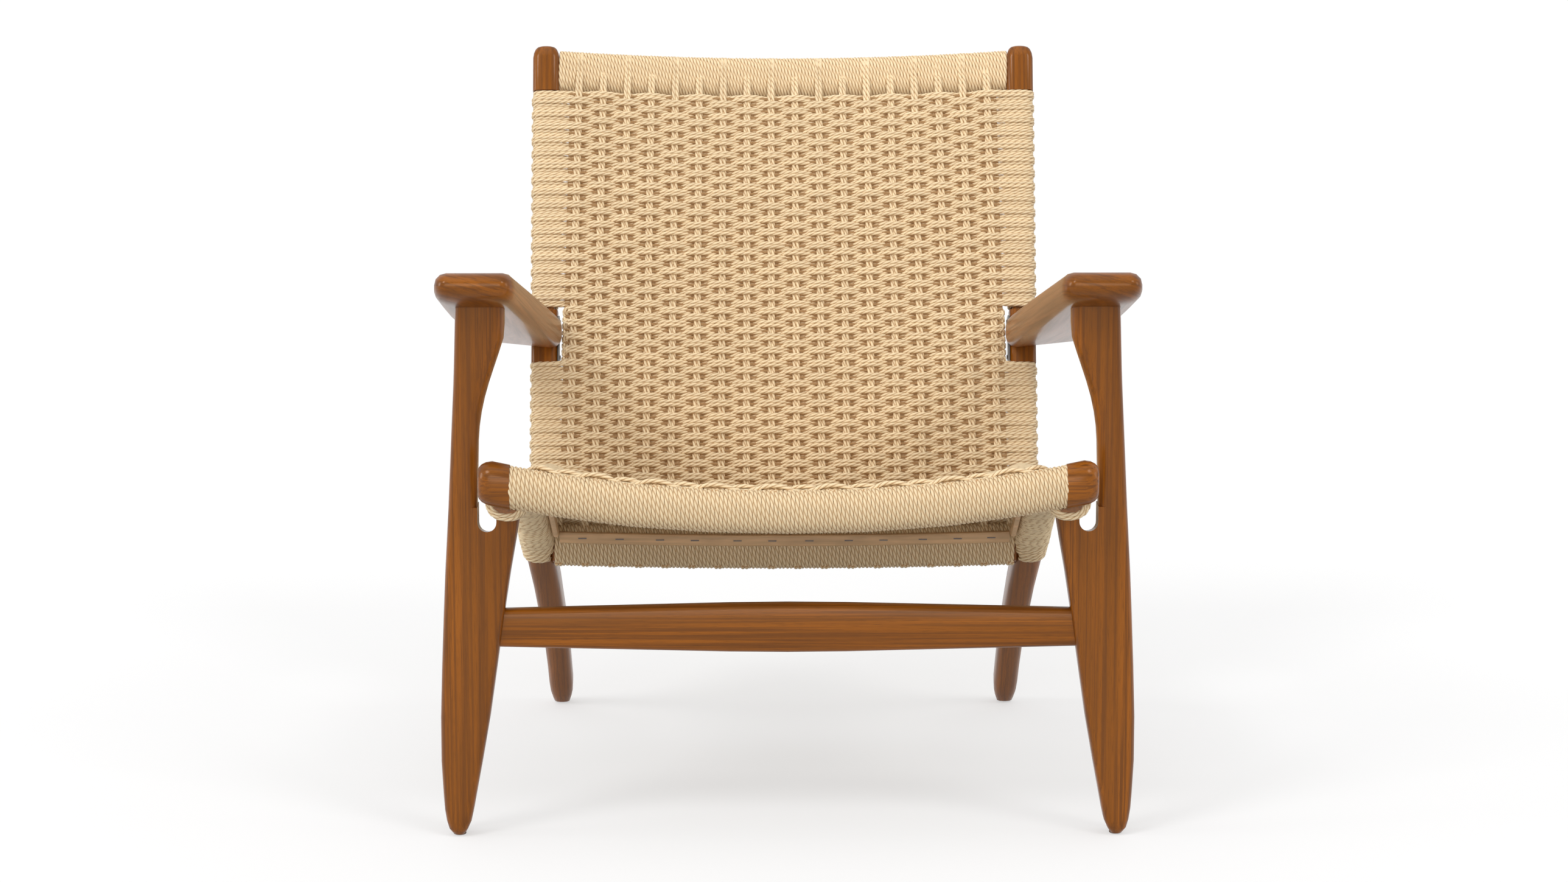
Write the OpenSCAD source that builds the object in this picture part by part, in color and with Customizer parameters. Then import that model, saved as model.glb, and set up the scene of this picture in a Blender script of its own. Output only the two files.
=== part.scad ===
// Low lounge armchair: solid wood frame, woven cord seat and back.
// Millimetres, +Z up, the chair faces -Y, the floor is Z = 0.
// Depths below are counted from the front face of the front legs and the
// whole chair is moved forward at the end so that it stands centred.

/* [Size] */
// distance between the outer faces of the front legs at the top
leg_span = 662; // [620:1:700]
// height of the front legs where they meet the armrests
leg_top_z = 543.5; // [500:0.5:560]
// thickness of the front leg boards
leg_t = 33; // [26:0.5:40]
// forward shift that centres the chair over the origin
centre_shift = 317.4; // [290:0.1:350]

/* [Armrest] */
// thickness of the armrest boards over the legs
arm_t = 32; // [28:0.1:36]
// extra thickness of the armrest per millimetre of depth
arm_grow = 0.01; // [0:0.001:0.015]
// fall of the armrest underside per millimetre of depth
arm_fall = 0.2345; // [0.2:0.0005:0.26]
// lift of the outer lower edge of the armrest
arm_bevel = 8; // [0:0.5:10]
// corner radius of the armrest edges
arm_r = 12; // [8:0.5:14]

/* [Stretcher] */
// height of the stretcher centre above the floor
stretcher_z = 214.7; // [190:0.1:240]
// height of the stretcher at its ends
stretcher_end_h = 38.5; // [32:0.5:46]
// height of the stretcher at its middle
stretcher_mid_h = 50.5; // [46:0.5:60]
// thickness of the stretcher
stretcher_t = 20; // [16:0.5:24]

/* [Side frames] */
// distance from the outer faces of the legs to the middle of the side rails
rail_inset = 52; // [50:0.5:55]
// height of the middle of the side rails at the front legs
rail_z = 353; // [349:0.5:357]
// width of the side rails
rail_w = 30; // [26:0.5:32]
// height of the side rails
rail_h = 34; // [31:0.5:37]
// depth of the bent rear leg at the knee
knee_h = 42; // [38:0.5:46]
// depth of the rear leg at the foot
foot_h = 27; // [22:0.5:32]

/* [Front rail] */
// distance from the outer faces of the legs to the ends of the front rail
front_inset = 23.5; // [21:0.5:28]
// height of the bare ends of the front rail
front_h = 44; // [40:0.5:48]
// depth of the bare ends of the front rail
front_d = 34; // [30:0.5:36]
// how far the front rail dips at its middle
front_dip = 29.5; // [15:0.5:32]
// length of the bare ends of the front rail
front_bare = 31.5; // [28:0.5:38]
// how far the seat panel lies below the top of the front rail
seat_sink = 7; // [5:0.5:14]

/* [Back] */
// lean of the back frame from upright
back_lean = 19.2; // [16:0.1:24]
// depth of the foot of the back frame
back_y = 462; // [458:0.5:466]
// height of the foot of the back frame
back_z = 232; // [228:0.5:236]
// distance from the outer faces of the legs to the outer faces of the stiles
stile_inset = 49.5; // [48:0.5:52]
// width of the stiles
stile_w = 29.5; // [27:0.5:31]
// thickness of the stiles at the bottom
stile_t0 = 34; // [30:0.5:38]
// thickness of the stiles at the top
stile_t1 = 27; // [24:0.5:30]
// length of the stiles above the foot of the back frame
stile_len = 547; // [500:1:570]
// backward bow of the top rail
top_bow = 35; // [15:0.5:40]
// backward bow of the bottom rail
low_bow = 12; // [6:0.5:20]
// height of the back rails under the cord
back_rail_h = 42; // [34:0.5:46]
// thickness of the back rails under the cord
back_rail_t = 17; // [14:0.5:22]

/* [Cord] */
// thickness of one layer of cord
cord_t = 4; // [3:0.1:5]
// depth of the rebates in the stiles that the cord lies in
rebate = 3.5; // [3:0.1:4]
// set-back of the wound back rails from the front of the stiles
rail_set = 3; // [2:0.5:5]
// thickness of the woven panels
weave_t = 6; // [5:0.1:8]
// gap between a cord sleeve and the wood inside it
sleeve_gap = 0.1; // [0.05:0.01:0.3]
// gap between a woven panel and what carries it
weave_gap = 0.25; // [0.1:0.05:0.5]

/* [Rear rail] */
// depth of the middle of the seat rear rail
rear_y = 430; // [426:0.5:434]
// height of the middle of the seat rear rail
rear_z = 218; // [213:0.5:221]
// height of the seat rear rail under the cord
rear_h = 40; // [34:0.5:44]
// thickness of the seat rear rail under the cord
rear_t = 24; // [20:0.5:26]
// how far the rear rail dips at its middle
rear_dip = 4; // [0:0.5:8]

/* [Rods and metal] */
// height of the flat-round rods
rod_h = 12; // [9:0.5:14]
// thickness of the flat-round rods
rod_t = 7; // [5:0.5:8]
// thickness of the steel plates
plate_t = 2; // [1.5:0.1:3]
// height of the foot glides
glide_h = 2; // [1.5:0.1:4]
// radius of the foot glides
glide_r = 6.5; // [5:0.5:8]

/* [Hidden] */

// outer faces of the front legs at the top, and what lies inside them
side_x = leg_span / 2;
rail_x = side_x - rail_inset;
stile_x = side_x - stile_inset;
front_half = side_x - front_inset;
front_wrap_half = front_half - front_bare;

wood_col = [0.5, 0.29, 0.14];
cord_col = [0.89, 0.8, 0.62];
rod_col = [0.85, 0.72, 0.52];
steel_col = [0.6, 0.6, 0.62];
pad_col = [0.35, 0.25, 0.16];

// ---- lofts ----
// one corner arc of a ring, m + 1 points, centre c, radius r, from angle a
function arc(c, r, a, m) = [for (i = [0:m]) [c[0] + r * cos(a + 90 * i / m), c[1] + r * sin(a + 90 * i / m)]];
// rounded rectangle, radius ra on the low-x side and rb on the high-x side
function ring(x0, x1, y0, y1, ra, rb, m = 3) = concat(
  arc([x1 - rb, y0 + rb], rb, -90, m), arc([x1 - rb, y1 - rb], rb, 0, m),
  arc([x0 + ra, y1 - ra], ra, 90, m), arc([x0 + ra, y0 + ra], ra, 180, m));
function rev(l) = [for (i = [len(l) - 1:-1:0]) l[i]];
// skin over equal rings, closed by a fan at both ends
module loft(rings) {
  n = len(rings[0]);
  k = len(rings);
  pts = [for (r = rings) each r];
  side = [for (i = [0:k - 2]) for (j = [0:n - 1]) let (a = i * n + j, b = i * n + (j + 1) % n)
    each [[a, a + n, b], [b, a + n, b + n]]];
  cap0 = [for (j = [1:n - 2]) [0, j, j + 1]];
  cap1 = [for (j = [1:n - 2]) [(k - 1) * n, (k - 1) * n + j + 1, (k - 1) * n + j]];
  polyhedron(points = pts, faces = concat(side, cap0, cap1), convexity = 6);
}
module mirrored(right) { if (right) children(); else mirror([1, 0, 0]) children(); }
module placed() { translate([0, -centre_shift, 0]) children(); }
module back_frame() { translate([0, back_y, back_z]) rotate([-back_lean, 0, 0]) children(); }
function lerp(a, b, t) = a + (b - a) * t;
function cosh(v) = (exp(v) + exp(-v)) / 2;

// ---- front legs ----
// outer and inner edge of the leg board against height, from the outer face at the top
leg_out = [[2, 7.5], [4, 10], [8, 12.7], [16, 15.3], [26, 17], [43, 18.2], [78, 20], [123, 20],
  [193, 17.6], [272, 13.8], [342, 9.6], [411, 6.1], [472, 2.9], [560, 0]];
leg_in = [[2, -2], [4, -4], [8, -6.2], [16, -9.8], [26, -12], [43, -15.1], [78, -21.7], [123, -29.7],
  [193, -39.9], [246, -47.4], [272, -51.8], [298, -56.3], [325, -61.5], [340, -63.5]];
branch_in = [[340.5, -19], [411, -20.9], [425, -22.5], [440, -25.1], [455, -28.8], [472, -34.1],
  [489, -40.1], [500, -43.7], [510, -46.9], [522, -48.2], [560, -48.5]];
function leg_outer(z) = side_x + lookup(z, leg_out);
function leg_inner(z) = side_x + lookup(z, leg_in);
function branch_inner(z) = side_x + lookup(z, branch_in);
// the prong ends under the side rail, and the branch goes on to the armrest
prong_z = rail_z - rail_h / 2;
leg_zs = [2, 4, 8, 16, 28, 45, 78, 123, 175, 225, 272, 305, prong_z + 4];
branch_zs = concat([prong_z + 4.5], [for (z = [375, 405, 420, 435, 450, 465, 480, 495, 510, 525])
  if (z < leg_top_z - 12) z], [leg_top_z + 8.5]);
slot_w = 19;
slot_x = rail_x + 22.9;
slot_h = 20;
foot_round = 10;
function leg_ring(z, xi, ri) = let (xo = leg_outer(z), q = max(0, foot_round - z) * 0.55,
  most = (xo - xi) / 2 - 0.5, ro = z < foot_round ? 5.5 : 8)
  [for (p = ring(xi, xo, q, leg_t - q, min(ri, most), min(ro, most))) [p[0], p[1], z]];
// the branch's inner edge gets rounder towards the armrest
function branch_r(z) = lerp(7, 13, max(0, min(1, (z - 400) / 40)));
// prong top that carries the side rail, and the round-bottomed slot beside it
module fork_cut() {
  r = slot_w / 2;
  open = 15;
  far = 100;
  translate([slot_x, 0, prong_z]) rotate([-rail_slope, 0, 0]) translate([0, leg_t + 20, 0])
    rotate([90, 0, 0]) linear_extrude(leg_t + 40) polygon(concat([[-far, 0], [-r, 0]],
      [for (i = [0:12]) [-r * cos(15 * i), r - slot_h - r * sin(15 * i)]], [[r, open], [-far, open]]));
}
// tenon at the top of the leg: width, depth, height above the leg
leg_tenon = [26, 18, 17];
tenon_root = 12;
module leg_tenon_block(c) {
  x = branch_inner(leg_top_z) + 25 - leg_tenon[0] / 2;
  translate([x - c, (leg_t - leg_tenon[1]) / 2 - c, leg_top_z - tenon_root])
    cube([leg_tenon[0] + 2 * c, leg_tenon[1] + 2 * c, leg_tenon[2] + tenon_root + c]);
}
// pin through the prong and the side rail: diameter, half length
pin_d = 10;
pin_l = 12;
module leg_blank() {
  loft(concat([for (z = leg_zs) leg_ring(z, leg_inner(z), z < foot_round ? 5.5 : 7)],
    [for (z = branch_zs) leg_ring(z, branch_inner(z), branch_r(z))]));
}
module front_leg() {
  color(wood_col) difference() {
    union() {
      difference() {
        leg_blank();
        // top face follows the armrest underside
        translate([side_x - 131, 0, arm_under(0)]) rotate([-atan(arm_fall), 0, 0]) translate([0, -60, 0])
          cube([200, 160, 60]);
        fork_cut();
      }
      intersection() {
        leg_tenon_block(0);
        translate([0, 0, leg_top_z - tenon_root - 1]) cube([side_x + 70, leg_t + 27, 40]);
      }
      // pin that locks the side rail on the prong
      translate([rail_x, leg_t / 2, prong_z - pin_l]) cylinder(d = pin_d, h = 2 * pin_l, $fn = 20);
    }
    // mortise of the stretcher
    stretcher_tenon(0.15);
    // bore of the foot glide
    translate([glide_front_x(), leg_t / 2, 0]) glide_bore();
  }
}

// ---- stretcher ----
stretcher_tenon_l = 20;
module stretcher_tenon(c) {
  translate([leg_inner(stretcher_z) - 4, leg_t / 2 - 6 - c, stretcher_z - 14 - c])
    cube([stretcher_tenon_l + 4 + c, 12 + 2 * c, 28 + 2 * c]);
}
// the stretcher is full in the middle and tapers to its ends
function stretcher_h(t) = lerp(stretcher_mid_h, stretcher_end_h, max(0, (abs(t) - 0.12) / 0.88));
function stretcher_ring(t) = let (y = leg_t / 2, d = stretcher_t / 2, h = stretcher_h(t) / 2)
  [for (p = ring(y - d, y + d, stretcher_z - h, stretcher_z + h, 6, 6))
    [t * (leg_inner(stretcher_z) + 5), p[0], p[1]]];
module front_stretcher() {
  color(wood_col) union() {
    difference() {
      loft([for (i = [-5:5]) stretcher_ring(i / 5)]);
      // shoulders cut to the slant of the legs
      for (s = [-1, 1]) scale([s, 1, 1]) leg_face_cut();
    }
    for (s = [-1, 1]) scale([s, 1, 1]) intersection() {
      stretcher_tenon(0);
      cube([leg_inner(stretcher_z) + stretcher_tenon_l, 100, 400]);
    }
  }
}
module leg_face_cut() {
  zs = [123, 193, 246, 272];
  far = leg_inner(zs[0]) + 60;
  translate([0, leg_t + 7, 0]) rotate([90, 0, 0]) linear_extrude(60)
    polygon(concat([for (z = rev(zs)) [leg_inner(z), z]], [[far, zs[0]], [far, zs[3]]]));
}

// ---- side frames: seat side rail and rear leg in one bent piece ----
rail_fall = 0.166;
rail_slope = atan(rail_fall);
leg_slope = 51.64;
function rail_line(y) = rail_z - rail_fall * y;
// the bend starts at a, rounds off the corner k and ends at c
bend_a = [315, rail_line(315)];
bend_k = [376.4, rail_line(376.4)];
bend_c = [422.9, rail_z - 121.3];
function bez(t) = (1 - t) * (1 - t) * bend_a + 2 * t * (1 - t) * bend_k + t * t * bend_c;
leg_dir = [cos(leg_slope), -sin(leg_slope)];
// upper face of the rear leg where the stile stands on it
leg_face = bend_c + [sin(leg_slope), cos(leg_slope)] * knee_h / 2;
rail_front = -40;
// the rear legs draw in towards their feet
leg_draw = [[315, 0], [340, -0.6], [371, -2], [400, -4.5], [423, -7.5], [450, -12.5], [470, -15.8],
  [533, -23.4], [575, -25.8], [620, -26.3]];
function sx(y) = rail_x + lookup(y, leg_draw);
// a station holds y, z, slope down, x, width and height
function at_y(y) = [y, rail_line(y), rail_slope, rail_x, rail_w, rail_h];
function at_bend(t) = let (p = bez(t))
  [p[0], p[1], lerp(rail_slope, leg_slope, t), sx(p[0]), rail_w + t, lerp(rail_h, knee_h, min(1, t * 1.6))];
function at_leg(d) = let (p = bend_c + leg_dir * d, q = max(0, (d - 255) / 38))
  [p[0], p[1], leg_slope, sx(p[0]), lerp(rail_w + 1, 27, min(1, d / 225)) - 11 * q * q,
    lerp(knee_h, foot_h, min(1, d / 255)) - 6 * q * q];
function frame_path() = concat([for (y = [rail_front, -20, 0, 33, 130, 225]) at_y(y)],
  [for (i = [0:8]) at_bend(i / 8)],
  [for (d = [30, 80, 130, 180, 225, 255, 270, 281, 302]) at_leg(d)]);
function frame_ring(s, g, r) = let (w = s[4] / 2 + g, h = s[5] / 2 + g, q = min(r + g, w - 0.5))
  [for (p = rev(ring(-w, w, -h, h, q, q))) [s[3] + p[0], s[0] + p[1] * sin(s[2]), s[1] + p[1] * cos(s[2])]];
module frame_loft(path, g, r = 9) { loft([for (s = path) frame_ring(s, g, r)]); }
module side_frame() {
  color(wood_col) difference() {
    frame_loft(frame_path(), 0);
    // foot cut level for the glide
    translate([rail_x - 129, 540, -60]) cube([200, 120, 60 + glide_h]);
    front_rail_end(0.1);
    // hole of the prong pin
    translate([rail_x, leg_t / 2, prong_z - 20]) cylinder(d = pin_d + 0.3, h = 20 + pin_l + 0.3, $fn = 20);
    // flat that sits on the prong
    translate([rail_x - 79, 0, prong_z]) rotate([-rail_slope, 0, 0]) translate([0, -0.3, -18])
      cube([110, leg_t + 0.8, 18.05]);
    // mortises of the rear rail and of the stile
    rear_tenon(0.15);
    back_frame() stile_tenon(0.15);
    translate([glide_rear_x(), glide_rear_y(), 0]) glide_bore();
  }
}

// ---- foot glides ----
function foot_point() = bend_c + leg_dir * (bend_c[1] - glide_h) / sin(leg_slope);
function glide_front_x() = (leg_outer(2) + leg_inner(2)) / 2;
function glide_rear_y() = foot_point()[0];
function glide_rear_x() = sx(foot_point()[0]);
module glide_bore() { cylinder(d = 4.2, h = 14, $fn = 16); }
module glide(x, y) {
  color(pad_col) translate([x, y, 0]) union() {
    cylinder(r1 = glide_r - 0.6, r2 = glide_r, h = 0.6, $fn = 32);
    translate([0, 0, 0.6]) cylinder(r = glide_r, h = glide_h - 0.6, $fn = 32);
    cylinder(d = 4, h = 12, $fn = 16);
  }
}

// ---- armrests ----
function arm_under(y) = leg_top_z - arm_fall * y;
// plan of the armrest: depth, inner and outer edge from the legs' outer face, inset of the rounded ends
arm_plan = [[-53, -49, 7, 13], [-51, -53.5, 12, 8.5], [-46, -57.5, 16, 4.3], [-38, -60, 18, 1.4],
  [-26, -61, 18.8, 0], [0, -62, 19, 0], [100, -66.7, 19, 0], [200, -71.4, 19, 0], [300, -76, 18, 0],
  [400, -80.2, 14, 0], [480, -83.4, 8, 0], [512, -84.6, 4, 0.3], [525, -84.1, 1, 1.2],
  [534, -82.4, -4, 3.5], [538.5, -79.5, -10, 7]];
// the outer lower edge lifts a little over the legs and more towards the rear
function arm_lift(y) = lerp(3, arm_bevel, max(0, min(1, (y - 150) / 250)));
function arm_lift_w(y) = lerp(20, 75, max(0, min(1, (y - 150) / 300)));
function arm_ring(s) = let (y = s[0], x0 = side_x + s[1], x1 = side_x + s[2], i = s[3],
  z0 = arm_under(y), t = arm_t + arm_grow * y, w = min(arm_lift_w(y), x1 - x0 - arm_r - 1),
  r = min(arm_r, t / 2 - i - 0.4))
  [for (p = rev(concat(ring(x0, x1, z0 + i, z0 + t - i, r, r), [[x1 - w, z0 + i]])))
    [p[0], y, p[1] + arm_lift(y) * max(0, 1 - (x1 - p[0]) / w) * max(0, 1 - 2 * (p[1] - z0) / t)]];
module arm_board() { loft([for (s = arm_plan) arm_ring(s)]); }
module armrest() {
  color(wood_col) difference() {
    arm_board();
    leg_tenon_block(0.15);
    // rear end scribed to the front of the stile
    back_frame() translate([rail_half - 30, 0, 150]) cube([stile_w + 30.1, 60, 150]);
    back_frame() arm_plate_body(0.1);
  }
}

// ---- steel plates and screws that hold the armrests ----
plate_z = 211;
plate_h = 52;
plate_w = 18;
screw_d = 3.4;
screw_l = 14;
module arm_plate_body(c) {
  // strap on the inner face of the stile and tongue in the end of the armrest
  translate([rail_half - plate_t - c, 3 - c, plate_z - plate_h / 2 - c])
    cube([plate_t + 2 * c, plate_w + 2 * c, plate_h + 2 * c]);
  translate([rail_half - plate_t - c, -20 - c, plate_z - 6 - c]) cube([plate_t + 2 * c, 24, 24 + 2 * c]);
}
module screw_spots() {
  for (z = [plate_z - 20, plate_z + 20])
    back_frame() translate([rail_half - plate_t, 3 + plate_w / 2, z]) rotate([0, -90, 0]) children();
}
module arm_screw_holes(c) {
  screw_spots() translate([0, 0, -screw_l - c]) cylinder(d = screw_d + 2 * c, h = screw_l + 2 + c, $fn = 16);
}
module arm_plate() {
  color(steel_col) difference() {
    back_frame() arm_plate_body(0);
    arm_screw_holes(0.05);
  }
}
module arm_screw_set() {
  color(steel_col) screw_spots() union() {
    translate([0, 0, -screw_l]) cylinder(d = screw_d, h = screw_l + 0.5, $fn = 16);
    translate([0, 0, 0.02]) cylinder(d1 = 6.4, d2 = 4.6, h = 1.2, $fn = 20);
  }
}

// ---- back frame ----
// heights up the stiles of the middles of the two rails
top_rail_z = stile_len - 2.5 - cord_t - back_rail_h / 2;
low_rail_z = 36;
// heights up the stiles where the wound parts start and end
weft_low = 14;
notch_lo = 184;
notch_hi = 244;
weft_top = top_rail_z - 24.5;
rail_half = stile_x - stile_w;
function stile_t(z) = lerp(stile_t0, stile_t1, max(0, min(1, z / stile_len)));
function stile_ring(z, g, i = 0) = let (e = g - i)
  [for (p = ring(rail_half - e, stile_x + e, -e, stile_t(z) + e, 7 + g, 7 + g)) [p[0], p[1], z]];
stile_tenon_t = 12;
stile_tenon_w = 22;
module stile_tenon(c) {
  translate([stile_x - stile_w / 2, 19, -8]) rotate([-32, 0, 0])
    translate([-stile_tenon_t / 2 - c, -stile_tenon_w / 2 - c, -50 - c])
      cube([stile_tenon_t + 2 * c, stile_tenon_w + 2 * c, 60]);
}
// space from low to high, measured from the upper face of the rear leg
module over_leg(low, high) {
  translate([rail_x - 129, leg_face[0], leg_face[1]]) rotate([-leg_slope, 0, 0]) translate([0, -150, low])
    cube([200, 400, high - low]);
}
// rings along the stile: bare foot, wound part, bare notch, wound part, bare top with a rounded end
stile_steps = [[-70, 0], [weft_low, 0], [weft_low + 0.1, rebate], [notch_lo, rebate], [notch_lo + 0.1, 0],
  [notch_hi, 0], [notch_hi + 0.1, rebate], [weft_top, rebate], [weft_top + 0.1, 0], [stile_len - 14, 0]];
stile_end = [[8, 0.9], [3.5, 2.6], [1, 4.6], [0, 6.6]];
module stile() {
  color(wood_col) union() {
    difference() {
      back_frame() loft(concat([for (s = stile_steps) stile_ring(s[0], -s[1])],
        [for (s = stile_end) stile_ring(stile_len - s[0], 0, s[1])]));
      over_leg(-150, 0);
      back_frame() {
        top_rail_tenon(0.15);
        low_rail_tenon(0.15);
      }
      arm_screw_holes(0.1);
    }
    intersection() {
      back_frame() stile_tenon(0);
      over_leg(-20, 1);
    }
  }
}
function bow(x, b) = b * (1 - (x / rail_half) * (x / rail_half));
rail_ts = [-1, -0.86, -0.66, -0.44, -0.22, 0, 0.22, 0.44, 0.66, 0.86, 1];
// back rails: front face flush with a cord layer behind the stile front
function rail_ring(x, zc, b, g) = let (y = rail_set + cord_t + bow(x, b), h = back_rail_h / 2 + g)
  [for (p = ring(y - g, y + back_rail_t + g, zc - h, zc + h, 7 + g, 7 + g)) [x, p[0], p[1]]];
module rail_loft(half, zc, b, g) { loft([for (t = rail_ts) rail_ring(t * half, zc, b, g)]); }
module rail_tenon(zc, c) {
  translate([rail_half - 6, rail_set + cord_t + 4 - c, zc - 13 - c])
    cube([16 + c, back_rail_t - 8 + 2 * c, 26 + 2 * c]);
}
module top_rail_tenon(c) { rail_tenon(top_rail_z, c); }
module low_rail_tenon(c) { rail_tenon(low_rail_z, c); }
module back_rail(zc, b) {
  color(wood_col) back_frame() union() {
    rail_loft(rail_half, zc, b, 0);
    for (s = [-1, 1]) scale([s, 1, 1]) rail_tenon(zc, 0);
  }
}
module back_rail_sleeve(zc, b) {
  color(cord_col) back_frame() difference() {
    rail_loft(rail_half - (cord_t - rebate) - 0.2, zc, b, cord_t);
    rail_loft(rail_half + 1, zc, b, sleeve_gap);
  }
}
module stile_sleeve(z0, z1) {
  g = cord_t - rebate;
  color(cord_col) back_frame() difference() {
    loft([for (z = [z0 + 0.3, z1 - 0.2]) stile_ring(z, g)]);
    loft([for (z = [z0 - 1, z1 + 1]) stile_ring(z, sleeve_gap - rebate)]);
    // room for the ends of the back rails
    for (b = [[top_rail_z, top_bow], [low_rail_z, low_bow]])
      loft([for (x = [0.86 * rail_half, rail_half + 5]) rail_ring(x, b[0], b[1], 0.15)]);
  }
}

// ---- front rail of the seat ----
front_y = -45;
front_z = 374;
function dip(x) = front_dip * (1 - pow(min(1, abs(x) / (front_half - 12)), 2.2));
function front_ring(x, g, i) = let (z = front_z - dip(x), e = g - i, d = front_d / 2 + e, h = front_h / 2 + e)
  [for (p = ring(front_y - d, front_y + d, z - h, z + h, front_r(d, g), front_r(d, g))) [x, p[0], p[1]]];
function front_r(d, g) = max(2, min(d - 0.5, 13 + g));
// rounded ends: distance from the end, inset
cap_steps = [[0, 8.5], [1, 6], [3.5, 3.2], [8, 1.1], [14, 0]];
front_ts = [-0.85, -0.57, -0.28, 0, 0.28, 0.57, 0.85];
module front_rail_body(g) {
  w = front_wrap_half + g;
  n = front_half + g;
  loft(concat(
    [for (s = cap_steps) front_ring(s[0] - n, g, s[1])],
    [front_ring(-w, g, 0), front_ring(0.05 - w, g, cord_t)],
    [for (t = front_ts) front_ring(t * front_wrap_half, g, cord_t)],
    [front_ring(w - 0.05, g, cord_t), front_ring(w, g, 0)],
    [for (s = rev(cap_steps)) front_ring(n - s[0], g, s[1])]));
}
// right-hand end of the same rail and sleeve, as cutters
module front_rail_end(g) {
  w = front_wrap_half;
  loft([front_ring(0.85 * w, g + wrap_proud, 0), front_ring(w, g + wrap_proud, 0), front_ring(w + 0.7, g, 0),
    front_ring(front_half - 5, g, 0)]);
}
// how far the cord stands out past the bare ends
wrap_proud = 0.6;
module front_rail_sleeve_body() {
  w = front_wrap_half - 0.2;
  loft([for (t = concat([-1], front_ts, [1])) front_ring(t * w, wrap_proud, 0)]);
}

// ---- rear rail of the seat ----
function rear_half() = sx(rear_y) - rail_w / 2 - 0.5;
function rear_bow(x) = rear_dip * (1 - pow(x / (rail_x - 29), 2));
function rear_ring(x, g) = let (z = rear_z - rear_bow(x), d = rear_t / 2 + g, h = rear_h / 2 + g)
  [for (p = ring(rear_y - d, rear_y + d, z - h, z + h, 8 + g, 8 + g)) [x, p[0], p[1]]];
module rear_loft(half, g) { loft([for (t = rail_ts) rear_ring(t * half, g)]); }
module rear_tenon(c) {
  translate([rear_half() - 5, rear_y - 6 - c, rear_z - 11 - c]) cube([19 + c, 12 + 2 * c, 22 + 2 * c]);
}

// ---- cord sleeves on the side frames ----
function wrap_path(a, b) = [for (i = [a:b]) frame_path()[i]];
module side_sleeve(path, path_in) {
  color(cord_col) difference() {
    frame_loft(path, cord_t);
    frame_loft(path_in, sleeve_gap);
    front_rail_end(0.2);
    loft([for (x = [0.86 * rear_half(), rear_half() + 6]) rear_ring(x, cord_t + 0.1)]);
    back_frame() translate([rail_half - 6, -1.5, -80]) cube([stile_w + 12, 60, 110]);
  }
}
// upper end of the rear leg, where the winding stops
function knee_at(d) = let (p = bend_c + leg_dir * d) [p[0], p[1], leg_slope, sx(p[0]), rail_w + 1, knee_h];

// ---- rods under the seat ----
rod_clear = 0.7;
function rod_station(s) = let (n = sin(s[2]), c = cos(s[2]), o = -(s[5] / 2 - rod_h / 2 - 1),
  x = s[3] - rail_w / 2 - cord_t - rod_t / 2 - rod_clear)
  [for (p = rev(ring(-rod_t / 2, rod_t / 2, -rod_h / 2, rod_h / 2, 3.2, 3.2, 2)))
    [x + p[0], s[0] + (p[1] + o) * n, s[1] + (p[1] + o) * c]];
module side_rod() {
  p = frame_path();
  color(rod_col) difference() {
    loft(concat([rod_station(at_y(10))], [for (i = [4:13]) rod_station(p[i])]));
    rear_rod_end(0.3);
  }
}
rod_z = 229.5;
rod_y = rear_y - rear_t / 2 - cord_t - rod_t / 2 - 0.2;
rod_half = rail_x - 33;
function rod_ring(x, g) = let (z = rod_z - rear_bow(x), d = rod_t / 2 + g, h = rod_h / 2 + 0.5 + g)
  [for (p = ring(rod_y - d, rod_y + d, z - h, z + h, 3.2, 3.2, 2)) [x, p[0], p[1]]];
module rear_rod_body(g) { loft([for (t = rail_ts) rod_ring(t * rod_half, g)]); }
module rear_rod_end(g) { loft([for (x = [0.81 * rod_half, rod_half + g]) rod_ring(x, g)]); }
// the staples stand unevenly along the rod
staple_ts = [-0.9, -0.735, -0.555, -0.4, -0.21, -0.055, 0.11, 0.285, 0.44, 0.615, 0.77, 0.92];
staple_w = 9;
staple_t = 0.8;
staple_h = 1.2;
module staple(c) {
  h = staple_h + 2 * c;
  translate([-staple_w / 2 - c, -0.3 - c, -h / 2]) cube([staple_w + 2 * c, staple_t + c, h]);
  for (s = [-staple_w / 2, staple_w / 2 - staple_t])
    translate([s - c, -0.3 - c, -h / 2]) cube([staple_t + 2 * c, rod_t + 1.6 + c, h]);
}
module staples(c) {
  for (t = staple_ts)
    translate([t * rod_half, rod_y - rod_t / 2 - 0.5, rod_z - rear_bow(t * rod_half)]) staple(c);
}

// ---- woven panels ----
// top of the side sleeves against depth
side_top = [for (s = frame_path()) let (h = s[5] / 2 + cord_t) [s[0] + h * sin(s[2]), s[1] + h * cos(s[2])]];
seat_y0 = front_y + front_d / 2 + 0.9;
seat_y1 = rear_y + rear_t / 2 + 3;
// the panel is carried from here outwards
hold_x = rail_x - 22;
seat_half = rail_x + rail_w / 2;
function seat_front_z(x) = front_z - dip(x) + front_h / 2 - seat_sink;
function seat_rear_z(x) = rear_z - rear_bow(x) + rear_h / 2 + cord_t;
function seat_line(x, y) = lerp(seat_front_z(x), seat_rear_z(x), (y - seat_y0) / (seat_y1 - seat_y0));
// the side rails lift the panel's edges above the straight line from rail to rail
function seat_edge(y) = max(seat_line(hold_x, y), lookup(y, side_top));
seat_hang = 1.755;
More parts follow.
